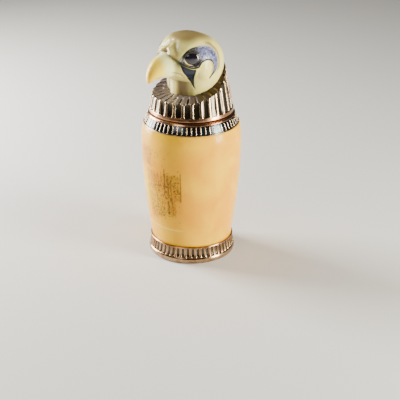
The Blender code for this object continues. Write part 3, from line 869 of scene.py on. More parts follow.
# The maker of each metal and the names of its two colours
METALS = {
    "gold": (gilt, "gold", "gold_deep"),
    "rose gold": (gilt, "rose", "rose_deep"),
    "bronze": (gilt, "bronze", "bronze_deep"),
    "dark fill": (dark_gilt, "fill", "fill_tint"),
    "blue fill": (dark_gilt, "blue", "blue_tint"),
}


def metal_look(name):
    maker, colour, second = METALS[name]
    settings = metal_settings()
    return look_named(name, lambda: maker(name, getattr(settings, colour), getattr(settings, second)))


def add_band(name, profile, look, stands_for, slot, dark=()):
    """A turned band whose dark rows carry painted shade, for the seams it meets."""
    mesh = turned_ring(profile)
    tarnish = np.zeros((len(profile), len(mesh.vertices) // len(profile)))
    # Painted shade in the seams, on the dark rows
    for row in dark:
        tarnish[row] = 1.0
    paint(mesh, "tarnish", tarnish)
    return keep(mesh, name, look, stands_for, slot)


class JAR_OT_body(bpy.types.Operator):
    """Make the hollow stone vessel with its panel of cut strokes"""
    bl_idname = "jar.body"
    bl_label = "Stone body"

    def execute(self, context):
        settings = body_settings()
        reach = math.radians(settings.panel_turn) + PANEL_MARGIN
        dense = np.arange(-reach, reach, PANEL_GRID_TURN)
        coarse = np.linspace(reach, 2 * np.pi - reach, REST_SIDES)
        angles = np.concatenate([dense, coarse])[:-1]
        ledge = FOOT_HEIGHT + GAP
        foot = WAIST_RADIUS - FOOT_WALL - GAP
        under_ring = RING_WALL + GAP
        outer_heights = np.concatenate([
            np.linspace(ledge, LOW_ROWS_END, 8), np.linspace(*RIDGE_ROWS, 9),
            np.arange(*PANEL_ROWS, PANEL_GRID_RISE), np.linspace(HIGH_ROWS_START, SHOULDER_LOW - GAP, 10)])
        outer = [(0.0, 0.0), (foot - SOFT_EDGE, 0.0), (foot, SOFT_EDGE), (foot, ledge)]
        outer += [(float(jar_radius(height)), height) for height in outer_heights]
        outer += [(float(jar_radius(height)) - under_ring, height)
                  for height in np.linspace(SHOULDER_LOW - GAP, JAR_HEIGHT - NECK_EDGE, 6)]
        outer += [(NECK_RADIUS - under_ring - NECK_EDGE, JAR_HEIGHT)]
        inner = [(MOUTH_RADIUS + SOFT_EDGE, JAR_HEIGHT), (MOUTH_RADIUS, JAR_HEIGHT - SOFT_EDGE),
                 (MOUTH_RADIUS, JAR_HEIGHT - PLUG_DEPTH - WALL)]
        inner += [(float(jar_radius(height)) - WALL, height)
                  for height in np.linspace(SHOULDER_START, FLOOR + COVE_TOP, 18)]
        inner += [(foot - WALL + COVE_OUT, FLOOR + COVE), (foot - WALL - COVE, FLOOR), (0.0, FLOOR)]
        profile = np.array(outer + inner)
        radius = np.repeat(profile[:, :1], len(angles), axis=1)
        height = np.repeat(profile[:, 1:], len(angles), axis=1)
        outside = np.zeros(len(profile), bool)
        outside[4:4 + len(outer_heights)] = True
        turn = (angles + np.pi) % (2 * np.pi) - np.pi
        across = np.repeat((turn * BELLY_RADIUS)[None, :], len(profile), axis=0)
        cut = stroke_mask(across, height, panel_strokes(settings), settings.stroke_width) * outside[:, None]
        ridge = np.exp(-((height - RIDGE_HEIGHT) / RIDGE_WIDTH) ** 2) * outside[:, None]
        ridge = ridge * ease((RIDGE_TURN - np.degrees(np.abs(turn))) / 15.0)
        radius = radius - settings.stroke_depth * cut + RIDGE_RAISE * ridge
        mesh = skin(around(angles[None, :], radius, height)[1:-1], caps=True)
        paint(mesh, "stroke", cut[1:-1])
        paint(mesh, "ridge", ridge[1:-1])
        paint(mesh, "stain", (panel_zone(turn[None, :], height) * outside[:, None])[1:-1])
        look = look_named("honey stone", lambda: honey_stone(settings))
        keep(mesh, "stone_body", look, "jar_body", "honey_stone")
        return {"FINISHED"}


def ring_place(low, high, radius_of):
    """How a ring's staves lie: from one height to another along a turned surface."""
    samples = np.linspace(low, high, 9)
    radii = [float(radius_of(height)) / CURVE_SCALE for height in samples]

    def place(sketch, angle, along, lift):
        radius = sketch.math("MULTIPLY_ADD", sketch.curve(along, radii), CURVE_SCALE, lift)
        height = sketch.math("MULTIPLY_ADD", along, high - low, low)
        return radius, height

    return place


class JAR_OT_shoulder(bpy.types.Operator):
    """Make the shoulder ring: dark blue fill between gold lines, with a plain band and a lip"""
    bl_idname = "jar.shoulder"
    bl_label = "Shoulder ring"

    def execute(self, context):
        low = SHOULDER_LOW + SHOULDER_LIP
        high = JAR_HEIGHT - SHOULDER_BAND

        def floor(height):
            return jar_radius(height) - STAVE_CREST

        def inside(*heights):
            return [(float(jar_radius(height)) - RING_WALL, height) for height in heights]

        heights = np.linspace(low - ROOT, high + ROOT, 14)
        core = [(float(floor(height)), height) for height in heights] + inside(*heights[::-3])
        belongs = ("shoulder_ring", "gilt_enamel")
        gold, rose = metal_look("gold"), metal_look("rose gold")
        keep(turned_ring(core), "shoulder_fill", metal_look("blue fill"), *belongs)
        tree = repeat_tree("Shoulder staves", ring_place(low, high, floor))
        blank = stave(lambda place: STAVE_HALF, STAVE_CREST, ROOT, np.linspace(0, 1, 8))
        count = metal_settings().shoulder_staves
        repeated("shoulder_staves", blank, tree, count, STAVE_START, gold, *belongs)
        band = [(float(jar_radius(high)) - ROOT, high)]
        for step in np.linspace(0.1, 0.6, 6):
            band.append((float(jar_radius(high + step * SHOULDER_BAND)), high + step * SHOULDER_BAND))
        top = len(band)
        band.append((float(jar_radius(JAR_HEIGHT - SEAM)) - 0.0001, JAR_HEIGHT - SEAM))
        band.append((NECK_RADIUS - SEAM, JAR_HEIGHT))
        band += inside(JAR_HEIGHT, high)
        add_band("shoulder_band", band, rose, *belongs, dark=(top + 1, top + 2))
        lip = []
        for step in np.linspace(-0.5, 0.5, 9):
            height = SHOULDER_LOW + SHOULDER_LIP * (step + 0.5)
            lip.append((float(jar_radius(height)) + SHOULDER_LIP_SWELL * math.cos(math.pi * step), height))
        lip += inside(low, SHOULDER_LOW)
        add_band("shoulder_lip", lip, gold, *belongs, dark=(0, 1, 7, 8, 9, 10))
        return {"FINISHED"}


class JAR_OT_foot(bpy.types.Operator):
    """Make the foot ring: a smooth rim, notched gold tongues over a dark fill and a thin lip"""
    bl_idname = "jar.foot"
    bl_label = "Foot ring"

    def execute(self, context):
        inner = WAIST_RADIUS - FOOT_WALL
        low = FOOT_RIM_HEIGHT
        high = FOOT_HEIGHT - FOOT_LIP_HEIGHT
        top = WAIST_RADIUS + FOOT_SET_BACK
        shoulder = FOOT_RADIUS - FOOT_SET_BACK
        belongs = ("foot_ring", "gilt_metal")
        bronze, fill = metal_look("bronze"), metal_look("dark fill")

        def outline(height):
            share = (height - low) / (high - low)
            hollow = FOOT_HOLLOW * math.sin(math.pi * min(max(share, 0), 1))
            return shoulder + (top - shoulder) * share - hollow

        def floor(height):
            return outline(height) - FOOT_FLUTE_DEPTH

        heights = np.linspace(low - ROOT, high + ROOT, 10)
        core = [(floor(height), height) for height in heights] + [(inner, heights[-1]), (inner, heights[0])]
        keep(turned_ring(core), "foot_fill", fill, *belongs)

        def half_width(place):
            near = min(place, 1 - place) / TONGUE_END
            if near >= 1:
                return TONGUE_HALF
            return TONGUE_HALF + TONGUE_SPREAD * (1 - math.sqrt(1 - (1 - near) ** 2))

        stations = np.unique(np.concatenate([
            np.linspace(0, TONGUE_END, 7), np.linspace(TONGUE_END, 1 - TONGUE_END, 6),
            np.linspace(1 - TONGUE_END, 1, 7)]))
        tree = repeat_tree("Foot tongues", ring_place(low, high, floor))
        blank = stave(half_width, FOOT_FLUTE_DEPTH, ROOT, stations)
        count = metal_settings().foot_tongues
        repeated("foot_tongues", blank, tree, count, 0.0, bronze, *belongs)

        def notch_width(place):
            share = (place - NOTCH_ENDS[0]) / (NOTCH_ENDS[1] - NOTCH_ENDS[0])
            return NOTCH_HALF[0] + (NOTCH_HALF[1] - NOTCH_HALF[0]) * max(share, 0.0) ** 0.8

        crest = FOOT_FLUTE_DEPTH + NOTCH_CREST
        notch = stave(notch_width, crest, 0.0, np.linspace(*NOTCH_ENDS, 8))
        repeated("foot_notches", notch, tree, count, 0.0, fill, *belongs)
        rim = [(inner, 0.0)]
        for turn in np.linspace(-0.5 * np.pi, 0.5 * np.pi, 15):
            swell = FOOT_RIM_SWELL * (1 - abs(math.cos(turn)) ** 0.8)
            rim.append((FOOT_RADIUS - swell, 0.5 * low * (1 + math.sin(turn))))
        rim.append((inner, low))
        add_band("foot_rim", rim, bronze, *belongs, dark=(len(rim) - 2,))
        lip = []
        for turn in np.linspace(-0.5 * np.pi, 0.5 * np.pi, 9):
            radius = top - SOFT_EDGE + FOOT_LIP_SWELL * math.cos(turn)
            lip.append((radius, high + 0.5 * FOOT_LIP_HEIGHT * (1 + math.sin(turn))))
        lip += [(inner, FOOT_HEIGHT), (inner, high)]
        add_band("foot_lip", lip, metal_look("rose gold"), *belongs)
        return {"FINISHED"}


def wig_rim(angles):
    """Height of the wig's outer rim over its seat, at angles from the front."""
    turn = np.abs((np.asarray(angles) + np.pi) % (2 * np.pi) - np.pi) / np.pi
    return spline(WIG_RIM, turn * (len(WIG_RIM) - 1))


def wig_radius(angles, rise):
    back = 0.5 - 0.5 * np.cos(angles)
    return NECK_RADIUS - (WIG_TAPER_FRONT + (WIG_TAPER_BACK - WIG_TAPER_FRONT) * back) * rise


def neck_radii(count):
    """How far the neck reaches where the wig meets it, at equal turns from the front to the back."""
    smooth = head_sections(220, 240)
    points = head_places(smooth)
    radius = np.hypot(points[..., 0], points[..., 1])
    angle = np.arctan2(points[..., 0], -points[..., 1])
    found = []
    for turn in np.linspace(0, np.pi, count):
        level = SEAT + float(wig_rim(np.array([turn]))[0]) + 0.0015
        close = (np.abs(points[..., 2] - level) < 0.0012) & (np.abs(np.abs(angle) - turn) < 0.05)
        found.append(float(radius[close].max()) if close.any() else found[-1])
    return found


def wig_place(sketch, angle, along, lift):
    """How a rib lies: up the wall with an arch at its foot, over the rim and in along the bevel."""
    wrapped = sketch.math("WRAP", angle, math.pi, -math.pi)
    turn = sketch.math("DIVIDE", sketch.math("ABSOLUTE", wrapped), math.pi)
    heights = [height / CURVE_SCALE for height in WIG_RIM]
    rim = sketch.math("MULTIPLY", sketch.curve(turn, heights), CURVE_SCALE)
    neck = [(radius - RIB_INTO_NECK) / CURVE_SCALE for radius in neck_radii(11)]
    inner = sketch.math("MULTIPLY", sketch.curve(turn, neck), CURVE_SCALE)
    back = sketch.math("MULTIPLY_ADD", sketch.math("COSINE", angle), -0.5, 0.5)
    taper = sketch.math("MULTIPLY_ADD", back, WIG_TAPER_BACK - WIG_TAPER_FRONT, WIG_TAPER_FRONT)
    foot = sketch.steps(along, 0.0, ARCH_SHARE, smooth=False)
    wall = sketch.steps(along, ARCH_SHARE, 1.0, smooth=False)
    top = sketch.steps(along, 1.0, 2.0, smooth=False)
    above = sketch.math("SUBTRACT", rim, WIG_BAND + WIG_ARCH)
    rise = sketch.math("MULTIPLY_ADD", wall, above, sketch.math("MULTIPLY_ADD", foot, WIG_ARCH, WIG_BAND))
    outer = sketch.math("SUBTRACT", NECK_RADIUS - WIG_FLUTE_DEPTH, sketch.math("MULTIPLY", taper, rise))
    inward = sketch.math("MULTIPLY", top, sketch.math("SUBTRACT", outer, inner))
    over = sketch.steps(along, 0.94, 1.06)
    flat = sketch.math("SUBTRACT", 1.0, over)
    radius = sketch.math("ADD", sketch.math("SUBTRACT", outer, inward), sketch.math("MULTIPLY", lift, flat))
    climb = sketch.math("MULTIPLY_ADD", inward, WIG_BEVEL_RISE, sketch.math("MULTIPLY", lift, over))
    height = sketch.math("ADD", sketch.math("ADD", rise, climb), SEAT - WIG_BEVEL_GROOVE)
    return radius, height


class JAR_OT_wig(bpy.types.Operator):
    """Make the wig collar: dark enamel with gold ribs that run over its rim, a band below and the plug"""
    bl_idname = "jar.wig"
    bl_label = "Wig collar"

    def execute(self, context):
        ribs = metal_settings().wig_ribs
        angles = np.linspace(0, 2 * np.pi, ribs * WIG_FLUTE_SAMPLES, endpoint=False)
        off_rib = np.abs((angles * ribs / (2 * np.pi) + 0.5) % 1.0 - 0.5)
        hollow = np.clip((off_rib - WIG_RIB_HALF) / (0.5 - WIG_RIB_HALF), 0, 1)
        hollow = WIG_HOLLOW * np.sqrt(1 - (1 - hollow) ** 2)
        plug = MOUTH_RADIUS - GAP
        rim = wig_rim(angles)
        rows = [around(angles, plug - SOFT_EDGE, SEAT - PLUG_DEPTH),
                around(angles, plug, SEAT - PLUG_DEPTH + SOFT_EDGE), around(angles, plug, SEAT)]
        wall = NECK_RADIUS - WIG_FLUTE_DEPTH - SEAM
        rows.append(around(angles, wall, SEAT))
        for share in np.linspace(0, 1, 14):
            rise = WIG_BAND + share * (rim - WIG_TOP_DROP - WIG_BAND)
            deep = hollow * math.sin(math.pi * min(max(share, 0.02), 0.98)) ** 0.3
            rows.append(around(angles, wig_radius(angles, rise) - WIG_FLUTE_DEPTH - deep, SEAT + rise))
        edge = wig_radius(angles, rim) - WIG_FLUTE_DEPTH
        back = 0.5 - 0.5 * np.cos(angles)
        inner = WIG_INNER_FRONT * NECK_RADIUS + WIG_INNER_MORE * NECK_RADIUS * back
        for share in np.linspace(0.02, 1, 8):
            radius = edge + share * (inner - edge)
            rise = rim + WIG_BEVEL_RISE * (edge - radius) - WIG_BEVEL_GROOVE
            rows.append(around(angles, radius, SEAT + rise))
        mesh = skin(np.array(rows), caps=True)
        belongs = ("wig_collar", "gilt_enamel")
        core = keep(mesh, "wig_fill", metal_look("dark fill"), *belongs)
        smooth = head_sections(SOCKET_ROWS, 80)
        carved = smooth + outward(smooth) * (carving(smooth) + GAP / HEAD_UNIT)[..., None]
        carved[0, :, 2] = -GAP / HEAD_UNIT
        last = int(SOCKET_SECTIONS * (SOCKET_ROWS - 1) / (len(HEAD_SECTIONS) - 1)) + 1
        socket = bpy.data.objects.new("socket", skin(head_places(carved[:last]), caps=True))
        bpy.context.scene.collection.objects.link(socket)
        boolean = core.modifiers.new("Socket", "BOOLEAN")
        boolean.operation = "DIFFERENCE"
        boolean.solver = "EXACT"
        boolean.object = socket
        graph = bpy.context.evaluated_depsgraph_get()
        cut = bpy.data.meshes.new_from_object(core.evaluated_get(graph))
        core.modifiers.remove(boolean)
        core.data = cut
        bpy.data.objects.remove(socket)
        cut.shade_smooth()
        cut.set_sharp_from_angle(angle=math.radians(35))

        def half_width(place):
            if place < ARCH_SHARE:
                arch = 1 - math.sqrt(1 - (1 - place / ARCH_SHARE) ** 2)
                return WIG_RIB_HALF + (0.49 - WIG_RIB_HALF) * arch
            wide = float(ease((place - 0.93) / 0.12)) * (BEVEL_HALF - WIG_RIB_HALF)
            return WIG_RIB_HALF + wide + (0.5 - BEVEL_HALF) * float(ease((place - BEVEL_CLOSE) / 0.04))

        stations = np.unique(np.concatenate([
            np.linspace(0, ARCH_SHARE, 8), np.linspace(ARCH_SHARE, 0.92, 10), np.linspace(0.93, 1.07, 9),
            np.linspace(1.1, BEVEL_CLOSE, 6), np.linspace(BEVEL_CLOSE, BEVEL_CLOSE + 0.04, 4),
            np.linspace(1.8, 2.0, 4)]))
        tree = repeat_tree("Wig ribs", wig_place)
        blank = stave(half_width, WIG_FLUTE_DEPTH, ROOT, stations, sides=11)
        lined = repeated("wig_ribs", blank, tree, ribs, 0.0, metal_look("gold"), *belongs).data
        points = np.zeros(3 * len(lined.vertices), np.float32)
        lined.vertices.foreach_get("co", points)
        side, front, height = points.reshape(-1, 3).T
        turn = np.arctan2(side, -front)
        inwards = wig_radius(turn, height - SEAT) - np.hypot(side, front)
        on_bevel = ease((inwards - BEVEL_FROM) / BEVEL_OVER)
        paint(lined, "bevel", on_bevel)
        # Painted shade and painted dark reflection on the bevel's far side, behind the head
        behind = ease((np.degrees(np.abs(turn)) - BEVEL_DARK_FROM) / BEVEL_DARK_OVER)
        paint(lined, "tarnish", on_bevel * behind)
        band = [(NECK_RADIUS - SEAM, SEAT), (NECK_RADIUS - 0.0002, SEAT + SEAM)]
        for rise in np.linspace(1.25 * SEAM, WIG_BAND, 10):
            band.append((NECK_RADIUS - WIG_TAPER_FRONT * rise, SEAT + rise))
        band += [(wall, SEAT + WIG_BAND), (wall, SEAT)]
        add_band("wig_band", band, metal_look("rose gold"), *belongs, dark=(0, len(band) - 1))
        return {"FINISHED"}


def head_sections(rows, columns):
    """Smooth head without its carving, as [row, column] points (to the side, forward, up) in hundredths."""
    places = np.linspace(0, len(HEAD_SECTIONS) - 1, rows)
    low_forward, low_up, high_forward, high_up, width, high_form, low_form = (
        column[:, None] for column in spline(HEAD_SECTIONS, places).T)
    turn = np.linspace(0, 2 * np.pi, columns, endpoint=False)[None, :]
    upper = 0.5 + 0.5 * np.cos(turn)
    form = low_form + (high_form - low_form) * upper
    side = width * np.sign(np.sin(turn)) * np.abs(np.sin(turn)) ** form
    forward = low_forward + (high_forward - low_forward) * upper
    up = low_up + (high_up - low_up) * upper
    return np.stack([side, forward, up], axis=2)


def head_places(points):
    """Points of the head, from hundredths to metres."""
    return np.stack([points[..., 0] * HEAD_UNIT, -points[..., 1] * HEAD_UNIT,
                     HEAD_BASE + points[..., 2] * HEAD_UNIT], axis=-1)


def outward(points):
    """Unit normals of a grid that is closed around its columns."""
    along = np.gradient(points, axis=0)
    across = np.roll(points, -1, axis=1) - np.roll(points, 1, axis=1)
    normal = np.cross(across, along)
    return normal / np.maximum(np.linalg.norm(normal, axis=2, keepdims=True), 1e-9)


def near_line(points, line):
    """Distance from every point to a bent line."""
    best = np.full(points.shape[:-1], np.inf)
    for start, end in zip(line, line[1:]):
        start = np.array(start)
        way = np.array(end) - start
        share = np.clip(((points - start) @ way) / (way @ way), 0, 1)
        best = np.minimum(best, np.linalg.norm(points - start - share[..., None] * way, axis=-1))
    return best


def rounded(runs, steps=5):
    """A closed outline from runs of points, smooth along each run and with a corner where two meet."""
    outline = []
    for run in runs:
        places = np.linspace(0, len(run) - 1, (len(run) - 1) * steps + 1)[:-1]
        outline += [tuple(point) for point in spline(run, places).tolist()]
    return outline


def outline_distance(forward, up, outline):
    """Distance to a closed outline in the side view, positive inside."""
    inside = np.zeros(forward.shape, bool)
    best = np.full(forward.shape, np.inf)
    for (a, b), (c, d) in zip(outline, outline[1:] + outline[:1]):
        crosses = (b > up) != (d > up)
        inside ^= crosses & (forward < (c - a) * (up - b) / ((d - b) or 1e-9) + a)
        share = np.clip(((forward - a) * (c - a) + (up - b) * (d - b)) / ((c - a) ** 2 + (d - b) ** 2), 0, 1)
        best = np.minimum(best, np.hypot(forward - a - share * (c - a), up - b - share * (d - b)))
    return np.where(inside, best, -best)


def mask_fields(points):
    """Signed distances to the eye patch and to the moustache, in hundredths, on the head's sides alone."""
    on_side = np.abs(points[..., 0]) > PATCH_SIDE - 2.0
    return [np.where(on_side, outline_distance(points[..., 1], points[..., 2], rounded(runs)), FAR_OUTSIDE)
            for runs in (PATCH_RUNS, MOUSTACHE_RUNS)]


def eye_reach(points):
    """How far each point lies from the eye's middle, where 1 is the edge of its ball seen from outside."""
    away = np.stack([np.abs(points[..., 0]), points[..., 1], points[..., 2]], axis=-1) - np.array(EYE_CENTRE)
    along = -math.sin(EYE_TURN) * away[..., 0] + math.cos(EYE_TURN) * away[..., 1]
    return np.sqrt((along / EYE_SIZE[1]) ** 2 + (away[..., 2] / EYE_SIZE[2]) ** 2)


def folded(points):
    """The points brought to one side of the head."""
    return np.concatenate([np.abs(points[..., :1]), points[..., 1:]], axis=-1)


def above_hood_edge(side, up):
    return up - HOOD_EDGE + HOOD_FALL * side + HOOD_BEND * side ** 2


def beside_throat(half, start_fade, end_fade, top_fade):
    """The hollows beside the throat: 1 inside, fading at the throat's column, at the cheek and at the top."""
    side, forward, up = half[..., 0], half[..., 1], half[..., 2]
    across = ease((side - THROAT_COLUMN) / start_fade) * ease((THROAT_HOLLOW_END - side) / end_fade)
    return across * ease((THROAT_TOP - up) / top_fade) * ease((forward - THROAT_BACK) / 8.0)


def carving(points, fine=False):
    """How far each point of the smooth head moves outwards, in hundredths; fine adds the eye sockets."""
    half = folded(points)
    side, forward, up = half[..., 0], half[..., 1], half[..., 2]
    on_side = ease((side - PATCH_SIDE) / SIDE_FADE)
    patch, moustache = mask_fields(points)
    move = -PATCH_DEPTH * on_side * ease(0.5 + np.maximum(patch, moustache) / PATCH_EDGE)
    cheek = sum(((half[..., axis] - CHEEK[axis]) / CHEEK_SIZE[axis]) ** 2 for axis in range(3))
    move = move + CHEEK_RAISE * ease(1 - cheek)
    over = above_hood_edge(side, up)
    fading = np.exp(-(over / HOOD_REACH) ** 2)
    move = move + HOOD_RAISE * np.tanh(over / HOOD_WIDTH) * fading * ease((forward - HOOD_AHEAD) / 6.0)
    move = move - THROAT_HOLLOW_DEPTH * beside_throat(half, 5.0, 10.0, 3.0)
    for line, raised, width in ((BROW, BROW_RAISE, BROW_WIDTH),
                                (LOBE, LOBE_RAISE, LOBE_WIDTH),
                                (LOBE_HOLLOW, -LOBE_HOLLOW_DEPTH, LOBE_HOLLOW_WIDTH),
                                (MIDDLE_GROOVE, -MIDDLE_GROOVE_DEPTH, MIDDLE_GROOVE_WIDTH),
                                (GAPE, -GAPE_DEPTH, GAPE_WIDTH)):
        move = move + raised * np.exp(-(near_line(half, line) / width) ** 2)
    if fine:
        move = move - SOCKET_FLOOR * on_side * ease((1.0 - eye_reach(points)) / SOCKET_EDGE)
    return move


def washes_and_shade(points):
    """Where the olive wash and the painted shade lie (in the hollows, under the hood's edge, beside the
    throat, on the crown and behind the patch), the dark place before the eye, and the dark hook behind the
    cheek.
    """
    half = folded(points)
    side, forward, up = half[..., 0], half[..., 1], half[..., 2]
    over = above_hood_edge(side, up)
    edge = np.exp(-((over + 0.5) / 0.9) ** 2) * ease((forward - HOOD_AHEAD) / 4.0) * ease((24.0 - side) / 4.0)
    crown = ease((up - 86.0 - 0.10 * np.abs(forward)) / 9.0) * ease((forward + 30.0) / 30.0)
    crown = crown * ease((28.0 - side) / 12.0)
    patch = outline_distance(forward, up, rounded(PATCH_RUNS))
    behind = np.exp(-((patch + 2.6) / 1.7) ** 2) * ease((6.0 - forward) / 10.0)
    behind = behind * ease((side - PATCH_SIDE) / 6.0)
    wash_and_shade_parts = (
        0.7 * np.exp(-(near_line(half - np.array(HOLLOW_WASH_AND_SHADE_SHIFT), LOBE_HOLLOW) / 4.6) ** 2),
        np.exp(-(near_line(half, MIDDLE_GROOVE) / 2.1) ** 2),
        0.9 * edge,
        0.92 * beside_throat(half, 3.0, 12.0, 4.0),
        0.86 * crown,
        0.45 * np.exp(-(near_line(half, GAPE) / 1.3) ** 2),
        0.95 * behind * ease((up - 50.0) / 8.0),
    )
    lore = LORE_SHARE * np.exp(-(np.linalg.norm(half - np.array(LORE), axis=-1) / LORE_SIZE) ** 2)
    hook = ease(1.0 - 0.5 * near_line(half[..., 1:], HOOK) / HOOK_WIDTH) * ease((side - PATCH_SIDE) / 2.0)
    return np.maximum.reduce(wash_and_shade_parts), lore, hook


class JAR_OT_head(bpy.types.Operator):
    """Make the falcon's head with its carving, eye patches and beak"""
    bl_idname = "jar.head"
    bl_label = "Falcon head"

    def execute(self, context):
        rows, columns = ((330, 280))
        smooth = head_sections(rows, columns)
        carved = smooth + outward(smooth) * carving(smooth, fine=True)[..., None]
        mesh = skin(head_places(carved), caps=True)
        patch, moustache = mask_fields(smooth)
        paint(mesh, "patch", np.maximum(patch, PAINTED_OUTSIDE))
        paint(mesh, "moustache", np.maximum(moustache, PAINTED_OUTSIDE))
        paint(mesh, "forward", 0.01 * smooth[..., 1])
        # Olive wash with painted shade, the dark place before the eye and the dark hook behind the cheek
        wash, lore, hook = washes_and_shade(smooth)
        paint(mesh, "wash", wash)
        paint(mesh, "lore", lore)
        paint(mesh, "hook", hook)
        look = look_named("ivory glaze", lambda: ivory(head_settings()))
        keep(mesh, "falcon_face", look, "falcon_head", "ivory_glaze")
        return {"FINISHED"}


def lens_height(reach):
    """How far the eye stands out at a share of its half size: a ball within a lower rim."""
    ball = RING_SHARE + (1 - RING_SHARE) * np.sqrt(np.clip(1 - (reach / BALL_SHARE) ** 2, 0, 1))
    rim = RING_SHARE * np.sqrt(np.clip(1 - ((reach - BALL_SHARE) / (1 - BALL_SHARE)) ** 2, 0, 1))
    return np.where(reach < BALL_SHARE, ball, rim)


def eye_points(side, out, along, up):
    """Points of an eye, from its own axes in hundredths to metres."""
    away = out * math.cos(EYE_TURN) - along * math.sin(EYE_TURN) + EYE_CENTRE[0]
    forward = out * math.sin(EYE_TURN) + along * math.cos(EYE_TURN) + EYE_CENTRE[1]
    return head_places(np.stack([side * away, forward, up + EYE_CENTRE[2]], axis=-1))


class JAR_OT_eyes(bpy.types.Operator):
    """Make the two glass eyes and the gold crescent in the lower front of each"""
    bl_idname = "jar.eyes"
    bl_label = "Eyes"

    def execute(self, context):
        turn = np.linspace(0, 2 * np.pi, 72, endpoint=False)[None, :]
        ahead = np.linspace(0.03, 1.0, 34)
        behind = np.sin(np.linspace(0.5 * np.pi, np.pi - 0.05, 12))[1:]
        reach = np.concatenate([ahead, behind])[:, None]
        out = np.concatenate([lens_height(ahead), -np.sqrt(1 - behind ** 2)])[:, None] * EYE_SIZE[0]
        along = reach * np.cos(turn) * EYE_SIZE[1]
        up = reach * np.sin(turn) * EYE_SIZE[2]
        out = np.repeat(out, turn.size, axis=1)
        painted = np.repeat(np.concatenate([ahead, np.ones(len(behind))])[:, None], turn.size, axis=1)
        arc = np.linspace(*CRESCENT_ENDS, 28)[:, None]
        tube = np.linspace(0, 2 * np.pi, 14, endpoint=False)[None, :]
        thick = CRESCENT_THICK * np.sin(np.linspace(0.12, np.pi - 0.12, 28))[:, None] ** 0.7
        middle = CRESCENT_REACH + thick * np.cos(tube) / EYE_SIZE[1]
        lifted = EYE_SIZE[0] * RING_SHARE * 0.7 + thick * np.sin(tube)
        bow_along = middle * np.cos(arc) * EYE_SIZE[1]
        bow_up = middle * np.sin(arc) * EYE_SIZE[2]
        for name, side in (("left", 1), ("right", -1)):
            mesh = skin(eye_points(side, out, along, up), caps=True)
            paint(mesh, "reach", painted)
            look = look_named("dark glass", lambda: eye_glass(head_settings()))
            keep(mesh, "glass_eye_" + name, look, "eye_" + name, "dark_glass")
            bow = eye_points(side, lifted, bow_along, bow_up)
            look = look_named("pale gold", lambda: pale_gold(head_settings()))
            keep(skin(bow, caps=True), "eye_crescent_" + name, look, "eye_" + name, "dark_glass")
        return {"FINISHED"}


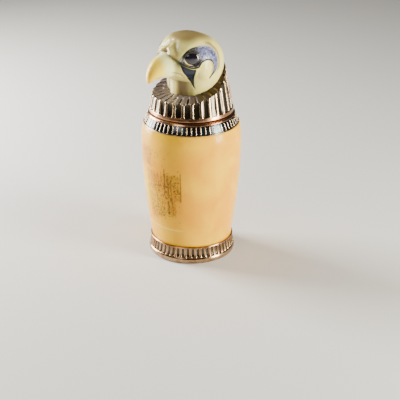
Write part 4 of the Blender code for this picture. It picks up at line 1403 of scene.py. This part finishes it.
class JAR_OT_stage(bpy.types.Operator):
    """Set the pale floor, the soft lights and the camera"""
    bl_idname = "jar.stage"
    bl_label = "Stage"

    def execute(self, context):
        clear_name("floor")
        work = bmesh.new()
        bmesh.ops.create_grid(work, x_segments=1, y_segments=1, size=3.0)
        mesh = bpy.data.meshes.new("floor")
        work.to_mesh(mesh)
        work.free()
        floor = bpy.data.objects.new("floor", mesh)
        context.scene.collection.objects.link(floor)
        look, _, shader = new_look("pale floor")
        shader.inputs["Base Color"].default_value = PALE_FLOOR
        shader.inputs["Roughness"].default_value = 0.6
        mesh.materials.append(look)
        right = Vector((math.cos(VIEW_TURN), math.sin(VIEW_TURN), 0.0))
        away = Vector((-math.sin(VIEW_TURN), math.cos(VIEW_TURN), 0.0))
        upward = Vector((0.0, 0.0, 1.0))
        ahead = away * math.cos(VIEW_TILT) - upward * math.sin(VIEW_TILT)
        aim = Vector((0.0, 0.0, VIEW_HEIGHT))
        lens = bpy.data.cameras.new("camera")
        lens.lens = VIEW_LENS
        lens.sensor_width = SENSOR
        lens.clip_end = 20.0
        camera = bpy.data.objects.new("camera", lens)
        context.scene.collection.objects.link(camera)
        camera.location = aim - ahead * VIEW_DISTANCE + right * VIEW_SHIFT
        camera.rotation_euler = ahead.to_track_quat("-Z", "Y").to_euler()
        context.scene.camera = camera
        middle = Vector((0.0, 0.0, LAMPS_AIM))
        for name, (place, size, power, colour) in LAMPS.items():
            light = bpy.data.lights.new(name, "AREA")
            light.shape = "RECTANGLE"
            light.size, light.size_y = size
            light.energy = power
            light.color = colour
            lamp = bpy.data.objects.new(name, light)
            context.scene.collection.objects.link(lamp)
            way = right * place[0] + away * place[1] + upward * place[2]
            lamp.location = middle + way
            lamp.rotation_euler = (-way).to_track_quat("-Z", "Y").to_euler()
        world = bpy.data.worlds.new("studio")
        world.use_nodes = True
        room = world.node_tree.nodes["Background"]
        room.inputs[0].default_value = ROOM_GREY
        room.inputs[1].default_value = ROOM_LIGHT
        context.scene.world = world
        return {"FINISHED"}


OPERATORS = (JAR_OT_body, JAR_OT_shoulder, JAR_OT_foot, JAR_OT_wig, JAR_OT_head, JAR_OT_eyes, JAR_OT_stage)


class JAR_PT_panel(bpy.types.Panel):
    bl_idname = "JAR_PT_panel"
    bl_label = "Canopic Jar"
    bl_space_type = "VIEW_3D"
    bl_region_type = "UI"
    bl_category = "Canopic Jar"

    def draw(self, context):
        for maker in OPERATORS:
            self.layout.operator(maker.bl_idname)
        for sizes in (body_settings(), metal_settings(), head_settings()):
            box = self.layout.box()
            for name in type(sizes).__annotations__:
                box.prop(sizes, name)


SETTINGS = (("jar_body_sizes", JARSIZE_PG_body), ("jar_metal_sizes", JARSIZE_PG_metal),
            ("jar_head_sizes", JARSIZE_PG_head))


def register():
    for name, group in SETTINGS:
        bpy.utils.register_class(group)
        setattr(bpy.types.Scene, name, bpy.props.PointerProperty(type=group))
    for made in (*OPERATORS, JAR_PT_panel):
        bpy.utils.register_class(made)


def unregister():
    for made in (JAR_PT_panel, *reversed(OPERATORS)):
        bpy.utils.unregister_class(made)
    for name, group in reversed(SETTINGS):
        delattr(bpy.types.Scene, name)
        bpy.utils.unregister_class(group)


def main():
    register()
    bpy.ops.jar.body()
    bpy.ops.jar.shoulder()
    bpy.ops.jar.foot()
    bpy.ops.jar.wig()
    bpy.ops.jar.head()
    bpy.ops.jar.eyes()
    bpy.ops.jar.stage()


if __name__ == "__main__":
    main()
